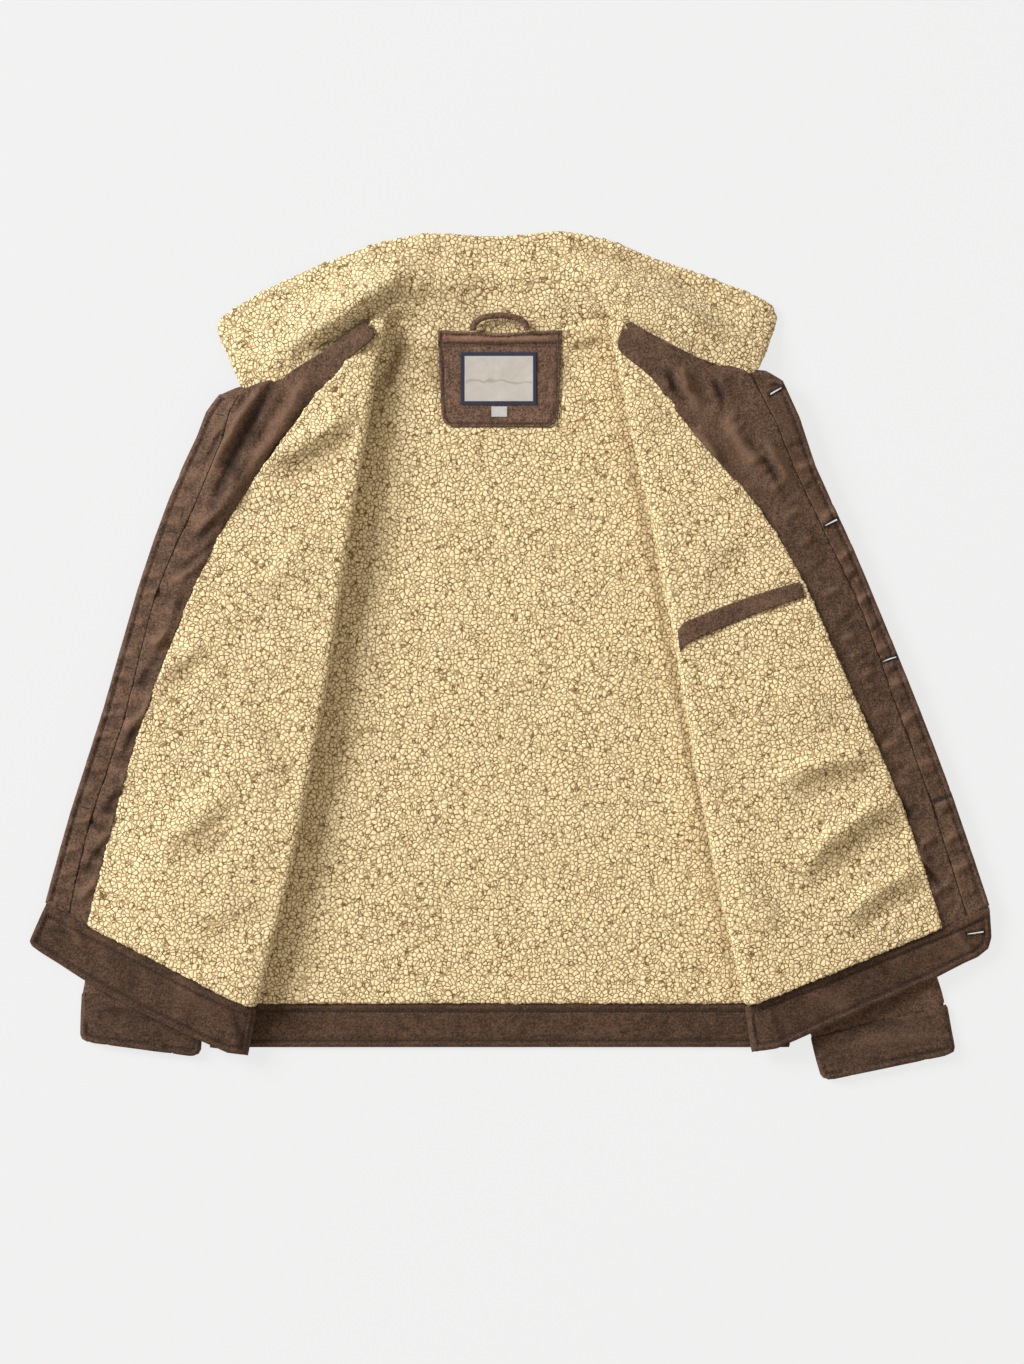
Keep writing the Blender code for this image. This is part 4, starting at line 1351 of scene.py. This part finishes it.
def make_neck_patch():
    """The neck patch, stitched all round and twice across the strip at its top."""
    low, high = box_mm("neck_patch")
    across = np.linspace(low[0] + 1.5, high[0] - 1.5, 60)
    top_lines = [np.stack((across, np.full(60, high[1] - drop)), 1) for drop in PATCH_LINES]
    return sewn_panel(
        "neck_patch", FINE_STEP, PATCH, ((PATCH_INSET, everywhere),), PATCH_CREASES,
        ((30.0, 0.3),), 123, 4, lines=top_lines, painted_shade_rows=PATCH_SHADE_AND_HIGHLIGHT,
    )


def make_back_waistband():
    """The back waistband, with a tack near each end."""
    low, high = box_mm("back_waistband")
    middle_y = (low[1] + high[1]) / 2 + 1.5
    ends = [low[0] + share * (high[0] - low[0]) for share in (0.12, 0.88)]
    return sewn_panel(
        "back_waistband", FINE_STEP, BAND, ((BAND_INSET, everywhere),), waves=((40.0, 0.4),),
        seed=120, passes=4, joined=("back_lining", "back_shell"),
        marks=[(x, middle_y, 1.6, 1.4) for x in ends],
    )


def build():
    """Makes every piece; they are kept by the names of the nodes that they stand for."""
    made = {}
    made["back_lining"] = make_back_lining()
    made["left_front_lining"] = make_front_lining("left", LEFT_LINING_CREASES, 11)
    made["right_front_lining"] = make_front_lining("right", RIGHT_LINING_CREASES, 21)
    made["collar_lining"] = make_collar_lining()
    make_side(made, "left", -1, LEFT_FACING_CREASES, LEFT_BAND_CREASES)
    make_side(made, "right", 1, RIGHT_FACING_CREASES, RIGHT_BAND_CREASES)
    made["back_waistband"] = make_back_waistband()
    made["back_shell"] = sewn_panel("back_shell", BACK_SHELL_STEP, SHELL, passes=0)
    made["collar_shell"] = sewn_panel("collar_shell", COLLAR_SHELL_STEP, SHELL, passes=8)
    made["neck_patch"] = make_neck_patch()
    for name, step, cloth, waves, seed, passes, reshape in (
        ("main_label", 1.8, LABEL, ((24.0, 0.25),), 124, 0, None),
        ("size_label", 1.2, SIZE_LABEL, ((9.0, 0.1),), 125, 0, None),
        ("hang_loop", 1.6, PATCH, (), 126, 6, None),
        ("pocket_welt", FINE_STEP, FACING, ((24.0, 0.3),), 127, 6, widen_welt),
    ):
        made[name] = sewn_panel(
            name, step, cloth, waves=waves, seed=seed, passes=passes, reshape=reshape
        )
    for number in range(1, BUTTONS + 1):
        button = bpy.data.objects[f"button_{number}"]
        button.data.materials.clear()
        button.data.materials.append(METAL)
    return made


# ------------------------------------------------------------------ room


def make_room():
    """Pale floor, soft light from the upper left and a camera straight above."""
    bpy.context.scene.view_settings.view_transform = "Standard"
    floor_finish = Finish("pale floor")
    speck = floor_finish.noise(floor_finish.place, 400.0, 1.0)
    tint = floor_finish.blend(speck, rgb(0.09, 0.09, 0.09), rgb(0.094, 0.094, 0.094))
    glow = {
        "Specular IOR Level": 0.0,
        "Emission Color": rgb(1.0, 1.0, 1.0),
        "Emission Strength": 0.765,
    }
    floor_finish.done(tint, 0.95, speck, 0.01, glow)
    bpy.ops.mesh.primitive_plane_add(size=14.0, location=(0, 0, cad_box[0][2] - 0.0004))
    floor = bpy.context.object
    floor.name = "floor"
    floor.data.materials.append(floor_finish.material)
    world = bpy.data.worlds.new("Studio")
    bpy.context.scene.world = world
    world.use_nodes = True
    light = world.node_tree.nodes["Background"].inputs
    light["Color"].default_value = rgb(1.0, 0.93, 0.83)
    light["Strength"].default_value = 0.42
    for name, place, size, power, tint in (
        ("key", (-7.2, 3.9, 4.9), 3.8, 1320.0, (0.985, 1.0, 1.03)),
        ("fill", (1.4, -1.0, 3.4), 3.0, 26.0, (1.0, 0.95, 0.88)),
    ):
        lamp = bpy.data.lights.new(name, "AREA")
        lamp.color = tint
        lamp.size = size
        lamp.energy = power
        holder = placed(name, lamp)
        holder.location = place
        holder.rotation_euler = (-Vector(place)).to_track_quat("-Z", "Y").to_euler()
    camera = bpy.data.cameras.new("camera")
    camera.lens = camera.sensor_width * CAMERA_HEIGHT / VIEW_HEIGHT
    camera.clip_end = 50.0
    eye = placed("camera", camera)
    eye.location = (VIEW_CENTRE[0] * MM, VIEW_CENTRE[1] * MM, CAMERA_HEIGHT * MM)
    bpy.context.scene.camera = eye


make_room()
pieces = build()
